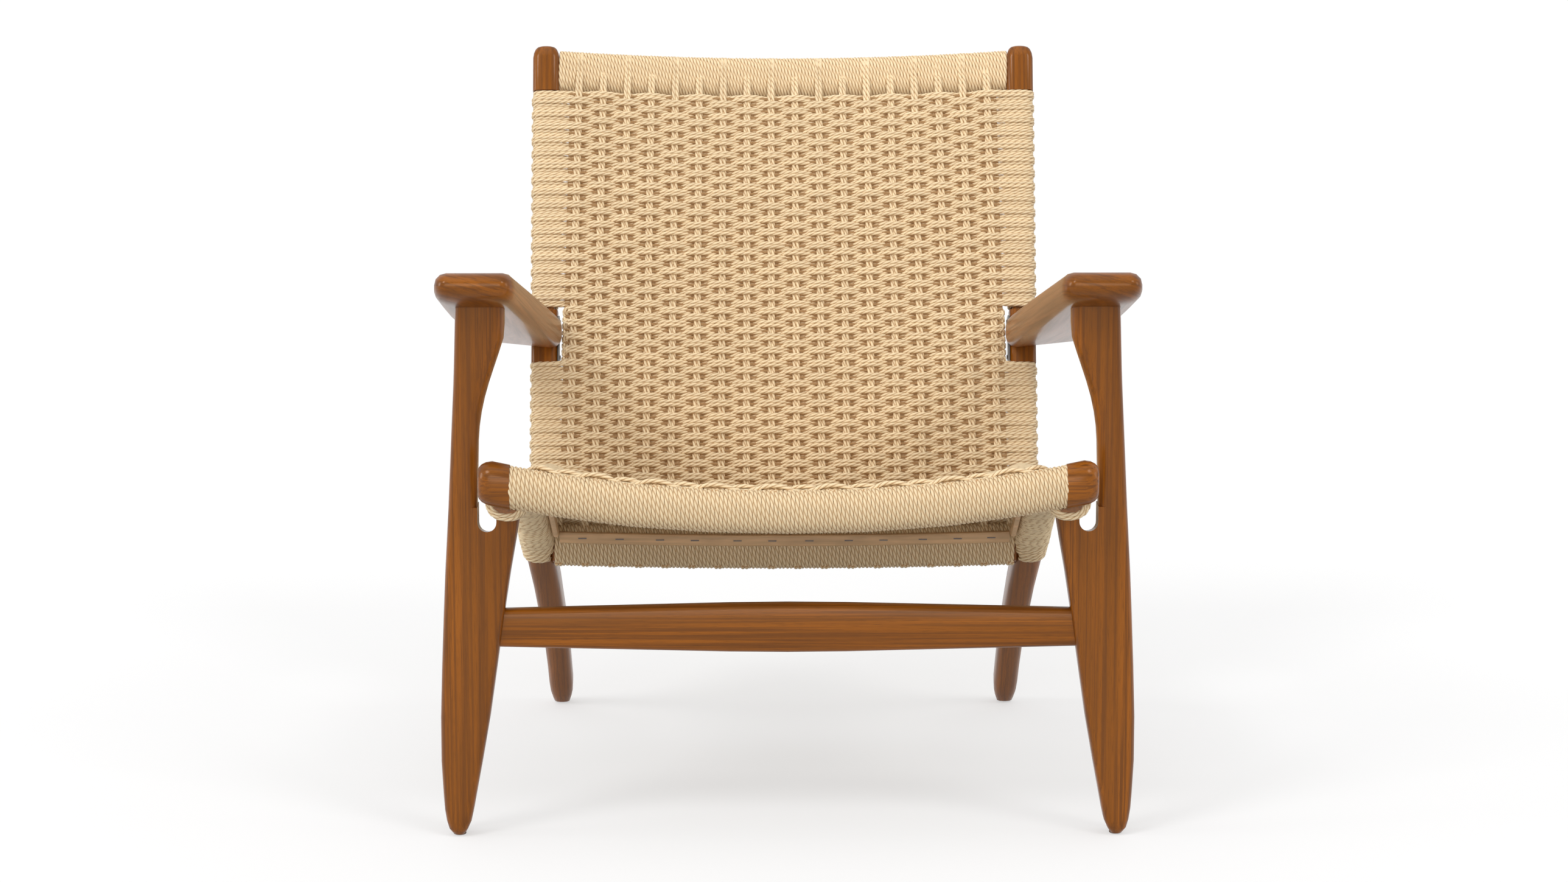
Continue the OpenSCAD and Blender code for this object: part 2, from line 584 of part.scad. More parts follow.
// underside of the seat panel
function seat_z(x, y) = weave_gap + (abs(x) > hold_x ? seat_edge(y) : seat_line(x, y)
  + (seat_edge(y) - seat_line(hold_x, y)) * cosh(seat_hang * x / hold_x) / cosh(seat_hang));
seat_ts = [0.2, 0.4, 0.6, 0.74, 0.875];
seat_right = concat(hold_x * seat_ts, [hold_x, hold_x + 9, seat_half]);
seat_xs = concat(-rev(seat_right), [0], seat_right);
seat_ys = [seat_y0, 0, 60, 130, 200, 260, 310, 345, 370, 395, rear_y - 18, rear_y - 2, seat_y1];
// slab over a grid: f gives the lower point, t the thickness vector
module sheet(xs, ys, f, t) {
  nx = len(xs);
  ny = len(ys);
  m = nx * ny;
  pts = concat([for (y = ys) for (x = xs) f(x, y)], [for (y = ys) for (x = xs) f(x, y) + t]);
  cells = [for (j = [0:ny - 2]) for (i = [0:nx - 2]) j * nx + i];
  top = [for (a = cells) each [[m + a, m + a + nx, m + a + 1], [m + a + 1, m + a + nx, m + a + nx + 1]]];
  low = [for (a = cells) each [[a, a + 1, a + nx], [a + 1, a + nx + 1, a + nx]]];
  // a strip of two triangles from point a to point b, the two in either order
  front = [for (i = [0:nx - 2]) each strip(i, i + 1, m)];
  back = [for (i = [0:nx - 2]) each strip((ny - 1) * nx + i + 1, (ny - 1) * nx + i, m)];
  left = [for (j = [0:ny - 2]) each strip((j + 1) * nx, j * nx, m)];
  right = [for (j = [0:ny - 2]) each strip((j + 1) * nx - 1, (j + 2) * nx - 1, m)];
  faces = concat(top, low, front, back, left, right);
  polyhedron(points = pts, faces = [for (f = faces) rev(f)], convexity = 6);
}
function strip(a, b, m) = [[a, a + m, b], [b, a + m, b + m]];
// backward set of the back panel in the frame of the stiles
back_hang = 1.45;
function back_n(x, z) = let (u = max(0, min(1, (z - low_rail_z) / (top_rail_z - low_rail_z))))
  rail_set - weave_gap + bow(x, lerp(low_bow, top_bow, u)) * cosh(back_hang * (2 * u - 1)) / cosh(back_hang);
back_xs = [for (i = [-8:8]) i / 8 * (rail_half - (cord_t - rebate) - 0.3)];
back_zs = [for (t = [0, 0.09, 0.17, 0.27, 0.37, 0.49, 0.6, 0.72, 0.82, 0.91, 1])
  lerp(weft_low, top_rail_z + 0.5, t)];

// ---- nodes ----
module front_leg_left() placed() mirrored(false) front_leg();
module front_leg_right() placed() mirrored(true) front_leg();
module side_frame_left() placed() mirrored(false) side_frame();
module side_frame_right() placed() mirrored(true) side_frame();
module armrest_left() placed() mirrored(false) armrest();
module armrest_right() placed() mirrored(true) armrest();
module back_stile_left() placed() mirrored(false) stile();
module back_stile_right() placed() mirrored(true) stile();
module stretcher_node() placed() front_stretcher();
module seat_front_rail() placed() color(wood_col) front_rail_body(0);
module seat_rear_rail() placed() color(wood_col) union() {
  rear_loft(rear_half(), 0);
  for (s = [-1, 1]) scale([s, 1, 1]) rear_tenon(0);
}
module back_top_rail() placed() back_rail(top_rail_z, top_bow);
module back_bottom_rail() placed() back_rail(low_rail_z, low_bow);
module seat_rod_rear() placed() color(rod_col) difference() {
  rear_rod_body(0);
  staples(0.05);
}
module seat_rod_left() placed() mirrored(false) side_rod();
module seat_rod_right() placed() mirrored(true) side_rod();
module arm_plate_left() placed() mirrored(false) arm_plate();
module arm_plate_right() placed() mirrored(true) arm_plate();
module arm_screws() placed() {
  arm_screw_set();
  mirror([1, 0, 0]) arm_screw_set();
}
module rod_staples() placed() color(steel_col) staples(0);
module glide_front_left() placed() glide(-glide_front_x(), leg_t / 2);
module glide_front_right() placed() glide(glide_front_x(), leg_t / 2);
module glide_rear_left() placed() glide(-glide_rear_x(), glide_rear_y());
module glide_rear_right() placed() glide(glide_rear_x(), glide_rear_y());
module front_rail_wrap() placed() color(cord_col) difference() {
  front_rail_sleeve_body();
  front_rail_body(sleeve_gap);
}
module rear_rail_wrap() placed() color(cord_col) difference() {
  rear_loft(rear_half() - 0.2, cord_t);
  rear_loft(rear_half() + 1, sleeve_gap);
  staples(0.05);
}
module top_rail_wrap() placed() back_rail_sleeve(top_rail_z, top_bow);
module bottom_rail_wrap() placed() back_rail_sleeve(low_rail_z, low_bow);
module side_front() side_sleeve([at_y(rail_front + 1), at_y(-1)], [at_y(rail_front - 2), at_y(1)]);
module side_rear() side_sleeve(concat([at_y(leg_t + 1.5)], wrap_path(4, 14), [knee_at(16)]),
  concat([at_y(leg_t - 1)], wrap_path(4, 14), [knee_at(20)]));
module side_wrap_front_left() placed() mirrored(false) side_front();
module side_wrap_front_right() placed() mirrored(true) side_front();
module side_wrap_rear_left() placed() mirrored(false) side_rear();
module side_wrap_rear_right() placed() mirrored(true) side_rear();
module stile_wrap_upper_left() placed() mirrored(false) stile_sleeve(notch_hi, weft_top);
module stile_wrap_upper_right() placed() mirrored(true) stile_sleeve(notch_hi, weft_top);
module stile_wrap_lower_left() placed() mirrored(false) stile_sleeve(weft_low, notch_lo);
module stile_wrap_lower_right() placed() mirrored(true) stile_sleeve(weft_low, notch_lo);
module seat_weave() placed() color(cord_col)
  sheet(seat_xs, seat_ys, function (x, y) [x, y, seat_z(x, y)], [0, 0, weave_t]);
module back_weave() placed() color(cord_col) back_frame() difference() {
  sheet(back_xs, back_zs, function (x, z) [x, back_n(x, z), z], [0, -weave_t, 0]);
  // the panel stops at the last warp beside the armrests
  for (s = [-1, 1]) scale([s, 1, 1]) translate([rail_half - 14, -20, notch_lo])
    cube([40, 60, notch_hi - notch_lo]);
}

front_leg_left();
front_leg_right();
side_frame_left();
side_frame_right();
armrest_left();
armrest_right();
back_stile_left();
back_stile_right();
stretcher_node();  // front_stretcher
seat_front_rail();
seat_rear_rail();
back_top_rail();
back_bottom_rail();
seat_rod_rear();
seat_rod_left();
seat_rod_right();
arm_plate_left();
arm_plate_right();
arm_screws();
rod_staples();
glide_front_left();
glide_front_right();
glide_rear_left();
glide_rear_right();
front_rail_wrap();
rear_rail_wrap();
top_rail_wrap();
bottom_rail_wrap();
side_wrap_front_left();
side_wrap_front_right();
side_wrap_rear_left();
side_wrap_rear_right();
stile_wrap_upper_left();
stile_wrap_upper_right();
stile_wrap_lower_left();
stile_wrap_lower_right();
seat_weave();
back_weave();
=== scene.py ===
import math

import bmesh
import bpy
import numpy as np
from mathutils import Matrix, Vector
from mathutils.bvhtree import BVHTree


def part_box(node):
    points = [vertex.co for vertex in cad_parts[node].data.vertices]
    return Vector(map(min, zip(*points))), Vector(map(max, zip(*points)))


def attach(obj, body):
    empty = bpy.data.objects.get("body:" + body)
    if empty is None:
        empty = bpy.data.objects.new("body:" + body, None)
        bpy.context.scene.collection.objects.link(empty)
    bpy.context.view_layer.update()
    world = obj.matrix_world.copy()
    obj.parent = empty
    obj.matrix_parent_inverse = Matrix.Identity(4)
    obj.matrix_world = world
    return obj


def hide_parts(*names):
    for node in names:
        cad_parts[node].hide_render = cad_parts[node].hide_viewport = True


bl_info = {
    "name": "Woven Cord Armchair",
    "version": (1, 0, 0),
    "blender": (4, 5, 0),
    "location": "View3D > Sidebar > Armchair",
    "description": "Dresses the frame of a low wooden armchair with its finishes, windings and woven panels",
    "category": "Add Mesh",
}

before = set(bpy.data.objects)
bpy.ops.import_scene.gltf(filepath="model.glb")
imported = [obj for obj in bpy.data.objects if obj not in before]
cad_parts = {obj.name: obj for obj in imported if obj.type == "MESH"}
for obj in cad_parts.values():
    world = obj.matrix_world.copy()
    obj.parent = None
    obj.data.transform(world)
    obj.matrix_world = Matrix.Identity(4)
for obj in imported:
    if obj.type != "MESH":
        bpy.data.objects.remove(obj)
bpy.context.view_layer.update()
MM = 0.001
X_AXIS = Vector((1.0, 0.0, 0.0))
Y_AXIS = Vector((0.0, 1.0, 0.0))
Z_AXIS = Vector((0.0, 0.0, 1.0))
SIDES = ((-1, "left"), (1, "right"))

ON_WOOD = 2.05 * MM  # from the wood to the middle of a cord wound on it
ON_WINDING = 3.0 * MM  # from the wood to the middle of a warp that crosses the winding
SECOND_LAYER = 5.6 * MM  # from the wood to the middle of a cord wound over another
PANEL_HALF = 3.0 * MM  # from a CAD panel's face to the surface that the cords are woven in
OVER_RAIL = 6.2 * MM  # from the front rail's top to that surface
BEND_STRETCH = 1.12  # length along the side frames' bend for each length along the seat
# The core strands are dark strands of painted shade, laid between the rows where the cord lies in shade.
CORE_DEPTH = 0.8 * MM  # from that surface to the core strands
CORE_THICKNESS = 0.78  # share of the cord's thickness
CORE_LAY = 10.0  # so long that a core strand shows no twist
CORE_STEP = 2.5  # segment length of a core strand, in steps of the cord
POINTS_PER_PLY = 3  # profile points for each ply, the first of them in the groove
SEAT_REACH = 0.2535  # half the width of the seat's rows, up to the side frames
BACK_REACH = 0.2525  # half the width of the back's rows, up to the stiles
MARGIN_WAVE = 0.27  # share of the swing left in a row where it meets the stile
NOTCH_MARGIN = 1.5 * MM  # room that a cord keeps beside the notch

# Name, direction, spread in degrees and strength of each lamp.
LAMPS = (("top", (0.10, 0.20, -1.0), 50.0, 0.35),
         ("front", (0.15, 1.0, -0.08), 40.0, 1.02),
         ("left box", (0.60, 0.60, -0.75), 18.0, 0.70),
         ("right box", (-0.60, 0.60, -0.75), 18.0, 0.50),
         ("left side", (1.0, 0.10, -0.22), 22.0, 0.60),
         ("right side", (-1.0, 0.10, -0.22), 22.0, 0.25))
WORLD_LIGHT = 0.66
FLOOR_TONE = 0.45
FLOOR_GLOW = 0.52


# ---- sizes and colours that a user would change ----

def plain(name, description, default, **kind):
    """A size or share that a user can change."""
    return bpy.props.FloatProperty(name=name, description=description, default=default, **kind)


def metres(name, description, default, **limits):
    """A length in metres."""
    return plain(name, description, default, unit="LENGTH", precision=4, **limits)


def slant(name, description, default):
    """An angle, given in degrees."""
    return plain(name, description, math.radians(default), subtype="ANGLE")


def whole(name, description, default, low, high):
    """A whole number."""
    return bpy.props.IntProperty(name=name, description=description, default=default, min=low, max=high)


def spot(name, description, default, **kind):
    """A place in metres."""
    return bpy.props.FloatVectorProperty(name=name, description=description, default=default,
                                         size=len(default), unit="LENGTH", precision=4, **kind)


def tint(name, description, default):
    """A base colour."""
    return bpy.props.FloatVectorProperty(name=name, description=description, default=default,
                                         size=3, subtype="COLOR", min=0.0, max=1.0)


class CordSizes(bpy.types.PropertyGroup):
    """The cord and how it is laid."""
    thickness: metres("Thickness", "Diameter of the cord", 0.0048, min=0.002, max=0.008)
    lay: metres("Lay", "Length of one full turn of the three plies", 0.023, min=0.008, max=0.05)
    groove: plain("Groove", "Depth of the grooves between plies, as a share of the radius", 0.26,
                  min=0.0, max=0.45, subtype="FACTOR")
    step: metres("Step", "Length of one mesh segment along the cord", 0.0034, min=0.001, max=0.01)
    row: metres("Row", "Spacing of the pairs of weft cords", 0.0075, min=0.006, max=0.012)
    warps: whole("Warps", "Pairs of warp cords in each panel", 18, 4, 30)
    turns_per_warp: whole("Turns per warp", "Turns of cord round a rail for each warp", 7, 3, 12)
    swing: metres("Swing", "How far a weft cord stands out over a warp", 0.0030, min=0.0, max=0.006)
    rise: metres("Rise", "How far a weft cord moves up over a warp", 0.0003, min=0.0, max=0.003)


class FrameSizes(bpy.types.PropertyGroup):
    """Where the back frame and the bent side frames run."""
    back_lean: slant("Lean", "Lean of the back from upright", 19.2)
    back_foot: spot("Back foot", "Foot of the front face of the back frame", (0.0, 0.1446, 0.232),
                    subtype="XYZ")
    weft_low: metres("Weft low", "Lowest row up the stile", 0.0165)
    weft_top: metres("Weft top", "Top row up the stile", 0.4930)
    notch_low: metres("Notch low", "Lower end of the gap beside the armrests", 0.184)
    notch_high: metres("Notch high", "Upper end of the gap beside the armrests", 0.244)
    back_warp: metres("Back warp", "Spacing of the warps low in the back", 0.0281, min=0.015, max=0.05)
    back_draw: plain("Back draw", "Share by which the warps close up per metre of height", 0.078,
                     min=0.0, max=0.3)
    rail_height: metres("Side rail height", "Middle of the side rails at the front legs", 0.353)
    rail_fall: plain("Side rail fall", "Fall of the side rails for each metre of depth", 0.166,
                     min=0.0, max=0.5)
    bend_start: spot("Bend start", "Depth and height where the bend starts", (-0.0024, 0.3007))
    bend_knee: spot("Bend knee", "Corner that the bend rounds off", (0.0590, 0.2905))
    bend_end: spot("Bend end", "Depth and height where the bend ends", (0.1055, 0.2317))
    foot_slope: slant("Rear leg slope", "Slope of the rear legs", 51.64)
    rail_x: metres("Side rail distance", "Middle of the side rails from the middle plane", 0.279)
    seat_warp: metres("Seat warp", "Spacing of the warps in the seat", 0.0292)


class Finishes(bpy.types.PropertyGroup):
    """Base colours of the finishes, and the colour of painted shade on the cord."""
    wood: tint("Wood", "Stained wood", (0.240, 0.071, 0.005))
    wood_dark: tint("Wood grain", "Dark grain of the wood", (0.090, 0.027, 0.004))
    cord: tint("Cord", "Paper cord", (0.88, 0.71, 0.46))
    # Colour of painted shade: in the grooves between the plies and on the core strands between the rows.
    cord_shade: tint("Cord grooves", "Grooves between the plies", (0.50, 0.30, 0.14))
    rod: tint("Rods", "Peeled rods under the seat", (0.66, 0.42, 0.22))


class StageSizes(bpy.types.PropertyGroup):
    """The camera."""
    eye: spot("Eye", "Place of the camera", (-0.040, -4.7805, 1.1932), subtype="XYZ")
    pitch: slant("Pitch", "Tilt of the camera", 80.024)
    yaw: slant("Yaw", "Turn of the camera", -0.4615)
    lens: plain("Lens", "Focal length in millimetres", 104.09, unit="CAMERA")


GROUPS = (("chair_cord", CordSizes), ("chair_frame", FrameSizes), ("chair_finish", Finishes),
          ("chair_stage", StageSizes))


def sizes(name):
    """The user's values of one property group."""
    return getattr(bpy.context.scene, name)


# ---- reading the frame ----

def tree_of(*names):
    """The surface of some CAD nodes, for casting rays at."""
    points, faces = [], []
    for name in names:
        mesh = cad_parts[name].data
        base = len(points)
        points.extend(v.co.copy() for v in mesh.vertices)
        faces.extend([base + i for i in p.vertices] for p in mesh.polygons)
    return BVHTree.FromPolygons(points, faces)


def span(tree, through, ray, reach=0.12):
    """The two places where a line through a point enters and leaves a solid."""
    first = tree.ray_cast(through - ray * reach, ray, 2 * reach)[0]
    last = tree.ray_cast(through + ray * reach, -ray, 2 * reach)[0]
    return first, last


def outline(tree, centre, a, b, angles, out, reach=0.075, missed=0.015):
    """Points just off the surface round a centre, one for each angle in the plane of a and b."""
    points = []
    for t in angles:
        ray = a * math.cos(t) + b * math.sin(t)
        hit, normal, _, _ = tree.ray_cast(centre + ray * reach, -ray, reach)
        if hit is None:
            hit, normal = centre + ray * missed, ray
        if normal.dot(ray) < 0:
            normal = -normal
        points.append(hit + normal * out)
    return eased(points)


def soften(values, passes=1):
    """Draws each value but the first and last towards its neighbours, in place."""
    for _ in range(passes):
        values[1:-1] = 0.25 * values[:-2] + 0.5 * values[1:-1] + 0.25 * values[2:]


def eased(points, passes=1):
    """The same open path with its kinks taken off."""
    path = np.array([tuple(q) for q in points])
    soften(path, passes)
    return path


def level_at(grid, columns, rows, x, y):
    """Value of a grid of levels at a place between its points."""
    i = np.clip((x - columns[0]) / (columns[1] - columns[0]), 0, len(columns) - 1.001)
    j = np.clip((y - rows[0]) / (rows[1] - rows[0]), 0, len(rows) - 1.001)
    i0, j0 = int(i), int(j)
    u, v = i - i0, j - j0
    low = (1 - u) * grid[j0, i0] + u * grid[j0, i0 + 1]
    high = (1 - u) * grid[j0 + 1, i0] + u * grid[j0 + 1, i0 + 1]
    return (1 - v) * low + v * high


def ease(value, low, high):
    """A smooth step from 0 at low to 1 at high."""
    t = min(1.0, max(0.0, (value - low) / (high - low)))
    return t * t * (3 - 2 * t)


def degrees(first, last, step):
    """Angles in radians from first to last, given in degrees."""
    count = max(2, int(round(abs(last - first) / step)) + 1)
    return [math.radians(v) for v in np.linspace(first, last, count)]


# ---- node trees ----

def feed(tree, node, values):
    """Links or sets a node's inputs."""
    for key, value in values.items():
        if isinstance(value, bpy.types.NodeSocket):
            tree.links.new(value, node.inputs[key])
        else:
            node.inputs[key].default_value = value


def add_node(tree, kind, values=None, **settings):
    """A node with its settings and its inputs."""
    node = tree.nodes.new(kind)
    for key, value in settings.items():
        setattr(node, key, value)
    feed(tree, node, values or {})
    return node


def maths(tree, operation, first, second):
    """The result of one operation on two values."""
    return add_node(tree, "ShaderNodeMath", {0: first, 1: second}, operation=operation).outputs[0]


def stored(tree, geometry, name, value):
    """A geometry with a value kept on its points."""
    values = {"Geometry": geometry, "Name": name, "Value": value}
    node = add_node(tree, "GeometryNodeStoreNamedAttribute", values, data_type="FLOAT", domain="POINT")
    return node.outputs[0]


def laid_cord_tree():
    """Geometry nodes that sweep a three-ply twisted cord along every curve."""
    name = "laid_cord"
    if name in bpy.data.node_groups:
        return bpy.data.node_groups[name]
    tree = bpy.data.node_groups.new(name, "GeometryNodeTree")
    face = tree.interface
    face.new_socket(name="Geometry", in_out="INPUT", socket_type="NodeSocketGeometry")
    for label, value in (("Radius", 0.002), ("Lay", 0.02), ("Groove", 0.24), ("Step", 0.003)):
        face.new_socket(name=label, in_out="INPUT", socket_type="NodeSocketFloat").default_value = value
    face.new_socket(name="Seed", in_out="INPUT", socket_type="NodeSocketInt").default_value = 1
    face.new_socket(name="Material", in_out="INPUT", socket_type="NodeSocketMaterial")
    face.new_socket(name="Geometry", in_out="OUTPUT", socket_type="NodeSocketGeometry")
    given = add_node(tree, "NodeGroupInput").outputs

    path = add_node(tree, "GeometryNodeResampleCurve", {"Curve": given["Geometry"], "Length": given["Step"]},
                    mode="LENGTH")
    along = add_node(tree, "GeometryNodeSplineParameter")
    which = add_node(tree, "GeometryNodeCurveOfPoint")
    drawn = {"ID": which.outputs["Curve Index"], "Seed": given["Seed"]}
    chance = add_node(tree, "FunctionNodeRandomValue", drawn, data_type="FLOAT").outputs[1]
    turns = maths(tree, "DIVIDE", along.outputs["Length"], given["Lay"])
    twist = maths(tree, "MULTIPLY", maths(tree, "ADD", turns, chance), -2 * math.pi)
    tilted = add_node(tree, "GeometryNodeSetCurveTilt", {"Curve": path.outputs[0], "Tilt": twist})
    toned = stored(tree, tilted.outputs[0], "tone", chance)

    ring = add_node(tree, "GeometryNodeCurvePrimitiveCircle",
                    {"Resolution": 3 * POINTS_PER_PLY, "Radius": given["Radius"]})
    index = add_node(tree, "GeometryNodeInputIndex")
    valley = maths(tree, "LESS_THAN", maths(tree, "MODULO", index.outputs[0], float(POINTS_PER_PLY)), 0.5)
    keep = maths(tree, "SUBTRACT", 1.0, maths(tree, "MULTIPLY", valley, given["Groove"]))
    position = add_node(tree, "GeometryNodeInputPosition")
    pulled = add_node(tree, "ShaderNodeVectorMath", {0: position.outputs[0], "Scale": keep},
                      operation="SCALE")
    lobes = add_node(tree, "GeometryNodeSetPosition",
                     {"Geometry": ring.outputs[0], "Position": pulled.outputs[0]})
    marked = stored(tree, lobes.outputs[0], "groove", valley)

    swept = add_node(tree, "GeometryNodeCurveToMesh",
                     {"Curve": toned, "Profile Curve": marked, "Fill Caps": True})
    smooth = add_node(tree, "GeometryNodeSetShadeSmooth", {"Geometry": swept.outputs[0]})
    real = add_node(tree, "GeometryNodeRealizeInstances", {"Geometry": smooth.outputs[0]})
    done = add_node(tree, "GeometryNodeSetMaterial",
                    {"Geometry": real.outputs[0], "Material": given["Material"]})
    add_node(tree, "NodeGroupOutput", {"Geometry": done.outputs[0]})
    return tree


def set_input(modifier, label, value):
    """Sets a geometry nodes input through its socket's identifier."""
    for item in modifier.node_group.interface.items_tree:
        if item.item_type == "SOCKET" and item.in_out == "INPUT" and item.name == label:
            modifier[item.identifier] = value
            return
    raise KeyError(label)


def cord_piece(name, lines, nodes=(), seed=1, core=False):
    """One piece made of cords that follow the given lines, or of plain round strands in a dark colour of
    painted shade for a core.
    """
    cord = sizes("chair_cord")
    curve = bpy.data.curves.new(name + "_lines", "CURVE")
    curve.dimensions = "3D"
    for line in lines:
        spline = curve.splines.new("POLY")
        spline.points.add(len(line) - 1)
        flat = np.ones((len(line), 4))
        flat[:, :3] = line
        spline.points.foreach_set("co", flat.ravel())
    guide = bpy.data.objects.new(name + "_lines", curve)
    bpy.context.scene.collection.objects.link(guide)
    modifier = guide.modifiers.new("Laid cord", "NODES")
    modifier.node_group = laid_cord_tree()
    round_strand = {"Radius": cord.thickness / 2 * CORE_THICKNESS, "Lay": CORE_LAY, "Groove": 0.0,
                    "Step": cord.step * CORE_STEP,
                    "Material": finish_of("painted_shade_core_finish", shade_core_cord)}
    laid_strand = {"Radius": cord.thickness / 2, "Lay": cord.lay, "Groove": cord.groove,
                   "Step": cord.step, "Material": finish_of("paper_cord_finish", paper_cord)}
    for label, value in (round_strand if core else laid_strand).items():
        set_input(modifier, label, value)
    set_input(modifier, "Seed", seed)
    graph = bpy.context.evaluated_depsgraph_get()
    mesh = bpy.data.meshes.new_from_object(guide.evaluated_get(graph))
    bpy.data.objects.remove(guide)
    bpy.data.curves.remove(curve)
    piece = bpy.data.objects.new(name, mesh)
    bpy.context.scene.collection.objects.link(piece)
    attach(piece, "root")
    if nodes:
        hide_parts(*nodes)


# ---- finishes ----

def new_finish(name):
    """An empty material with a principled shader."""
    material = bpy.data.materials.new(name)
    material.use_nodes = True
    tree = material.node_tree
    return material, tree, tree.nodes["Principled BSDF"]


def finish_of(name, recipe, *values):
    """The material with this name, laid out by its recipe the first time it is asked for."""
    if name not in bpy.data.materials:
        _, tree, shader = new_finish(name)
        feed(tree, shader, recipe(tree, *values))
    return bpy.data.materials[name]


def grey(level):
    """A grey colour with full cover."""
    return (level, level, level, 1.0)


def shade(tone, factor=1.0):
    """A colour made lighter or darker, with full cover."""
    return tuple(min(1.0, c * factor) for c in tone) + (1.0,)


def ramp(tree, source, *stops):
    """A colour ramp between the given stops."""
    node = add_node(tree, "ShaderNodeValToRGB", {0: source})
    elements = node.color_ramp.elements
    for element, (position, tone) in zip(elements, (stops[0], stops[-1])):
        element.position = position
        element.color = tone
    for position, tone in stops[1:-1]:
        elements.new(position).color = tone
    return node.outputs[0]


def stretched_noise(tree, scale, detail, rough, warp=0.0, coords=None):
    """Noise with its own scale along each axis, on object coordinates unless others are given."""
    coords = coords or add_node(tree, "ShaderNodeTexCoord").outputs["Object"]
    mapped = add_node(tree, "ShaderNodeMapping", {"Vector": coords, "Scale": scale})
    return add_node(tree, "ShaderNodeTexNoise", {"Vector": mapped.outputs[0], "Scale": 1.0, "Detail": detail,
                    "Roughness": rough, "Distortion": warp}).outputs["Fac"]


def mixed(tree, share, a, b, blend="MIX"):
    """Two colours mixed by a share."""
    values = {0: share, 6: a, 7: b}
    return add_node(tree, "ShaderNodeMix", values, data_type="RGBA", blend_type=blend).outputs[2]


def own_value(tree, name, output="Fac"):
    """A value that the piece keeps on its points."""
    return add_node(tree, "ShaderNodeAttribute", attribute_name=name).outputs[output]


def between(tree, value, low, high):
    """A value from 0 to 1, spread between two others."""
    return add_node(tree, "ShaderNodeMapRange", {0: value, 3: low, 4: high}).outputs[0]


def relief(tree, height, strength):
    """A fine bump."""
    values = {"Height": height, "Strength": strength, "Distance": 0.3 * MM}
    return add_node(tree, "ShaderNodeBump", values).outputs[0]


def stained_wood(tree):
    """Stained and lacquered wood, with its grain along the grain coordinates' first axis."""
    finish = sizes("chair_finish")
    grain = own_value(tree, "grain", "Vector")
    bands = stretched_noise(tree, (2.5, 45.0, 45.0), 3.0, 0.5, 0.6, grain)
    lines = stretched_noise(tree, (3.0, 330.0, 330.0), 3.0, 0.6, 0.3, grain)
    pores = stretched_noise(tree, (60.0, 2200.0, 2200.0), 2.0, 0.5, 0.0, grain)
    base = ramp(tree, bands, (0.3, shade(finish.wood, 0.75)), (0.5, shade(finish.wood)),
                (0.7, shade(finish.wood, 1.35)))
    streak = ramp(tree, lines, (0.44, grey(0.0)), (0.62, grey(0.9)))
    body = mixed(tree, streak, base, shade(finish.wood_dark, 1.5))
    dots = ramp(tree, pores, (0.54, grey(0.0)), (0.70, grey(0.55)))
    return {"Base Color": mixed(tree, dots, body, shade(finish.wood_dark)),
            "Roughness": between(tree, lines, 0.26, 0.40),
            "Specular Tint": (0.85, 0.50, 0.25, 1.0),
            "Coat Weight": 0.22,
            "Coat Roughness": 0.12,
            "Normal": relief(tree, pores, 0.12)}


def paper_cord(tree):
    """Waxed paper cord with fine fibres, and painted shade in the grooves between the plies."""
    finish = sizes("chair_finish")
    fibre = stretched_noise(tree, (1400.0, 1400.0, 1400.0), 3.0, 0.6)
    patch = stretched_noise(tree, (60.0, 60.0, 60.0), 2.0, 0.5)
    tone = own_value(tree, "tone")
    light = ramp(tree, tone, (0.0, shade(finish.cord, 0.93)), (1.0, shade(finish.cord, 1.05)))
    light = mixed(tree, patch, mixed(tree, 1.0, light, (0.95, 0.93, 0.90, 1.0), "MULTIPLY"), light)
    # Painted shade: the grooves between the plies are darkened towards the cord's shade colour.
    groove_shade = add_node(tree, "ShaderNodeMapRange", {0: own_value(tree, "groove"), 1: 0.25, 2: 0.95}).outputs[0]
    body = mixed(tree, groove_shade, light, shade(finish.cord_shade))
    specks = ramp(tree, fibre, (0.3, (0.82, 0.79, 0.74, 1.0)), (0.6, grey(1.0)))
    return {"Base Color": mixed(tree, 0.3, body, mixed(tree, 1.0, body, specks, "MULTIPLY")),
            "Roughness": 0.58,
            "Specular IOR Level": 0.45,
            "Normal": relief(tree, fibre, 0.15)}


def shade_core_cord(tree):
    """Painted shade: a dark, dull cord colour for the core strands, which stand in for the shaded cord sides
    between the rows.
    """
    dark = sizes("chair_finish").cord_shade
    fibre = stretched_noise(tree, (900.0, 900.0, 900.0), 3.0, 0.6)
    return {"Base Color": ramp(tree, fibre, (0.3, shade(dark, 0.6)), (0.7, shade(dark, 0.95))),
            "Roughness": 0.9,
            "Specular IOR Level": 0.1}


def peeled_rod(tree):
    """Peeled pale rod with faint streaks and darker blots."""
    rod = sizes("chair_finish").rod
    streak = stretched_noise(tree, (14.0, 300.0, 300.0), 4.0, 0.6)
    blot = stretched_noise(tree, (25.0, 60.0, 60.0), 2.0, 0.5)
    pale = ramp(tree, streak, (0.3, shade(rod, 0.78)), (0.7, shade(rod, 1.12)))
    blots = ramp(tree, blot, (0.55, grey(0.0)), (0.8, grey(0.5)))
    return {"Base Color": mixed(tree, blots, pale, shade(rod, 0.6)),
            "Roughness": 0.5,
            "Normal": relief(tree, streak, 0.1)}


def scratched_metal(tree, tone, rough):
    """Bare metal with fine scratches."""
    scratch = stretched_noise(tree, (400.0, 400.0, 60.0), 3.0, 0.6)
    return {"Base Color": ramp(tree, scratch, (0.3, shade(tone, 0.85)), (0.7, shade(tone, 1.1))),
            "Roughness": between(tree, scratch, rough - 0.08, rough + 0.08),
            "Metallic": 1.0}


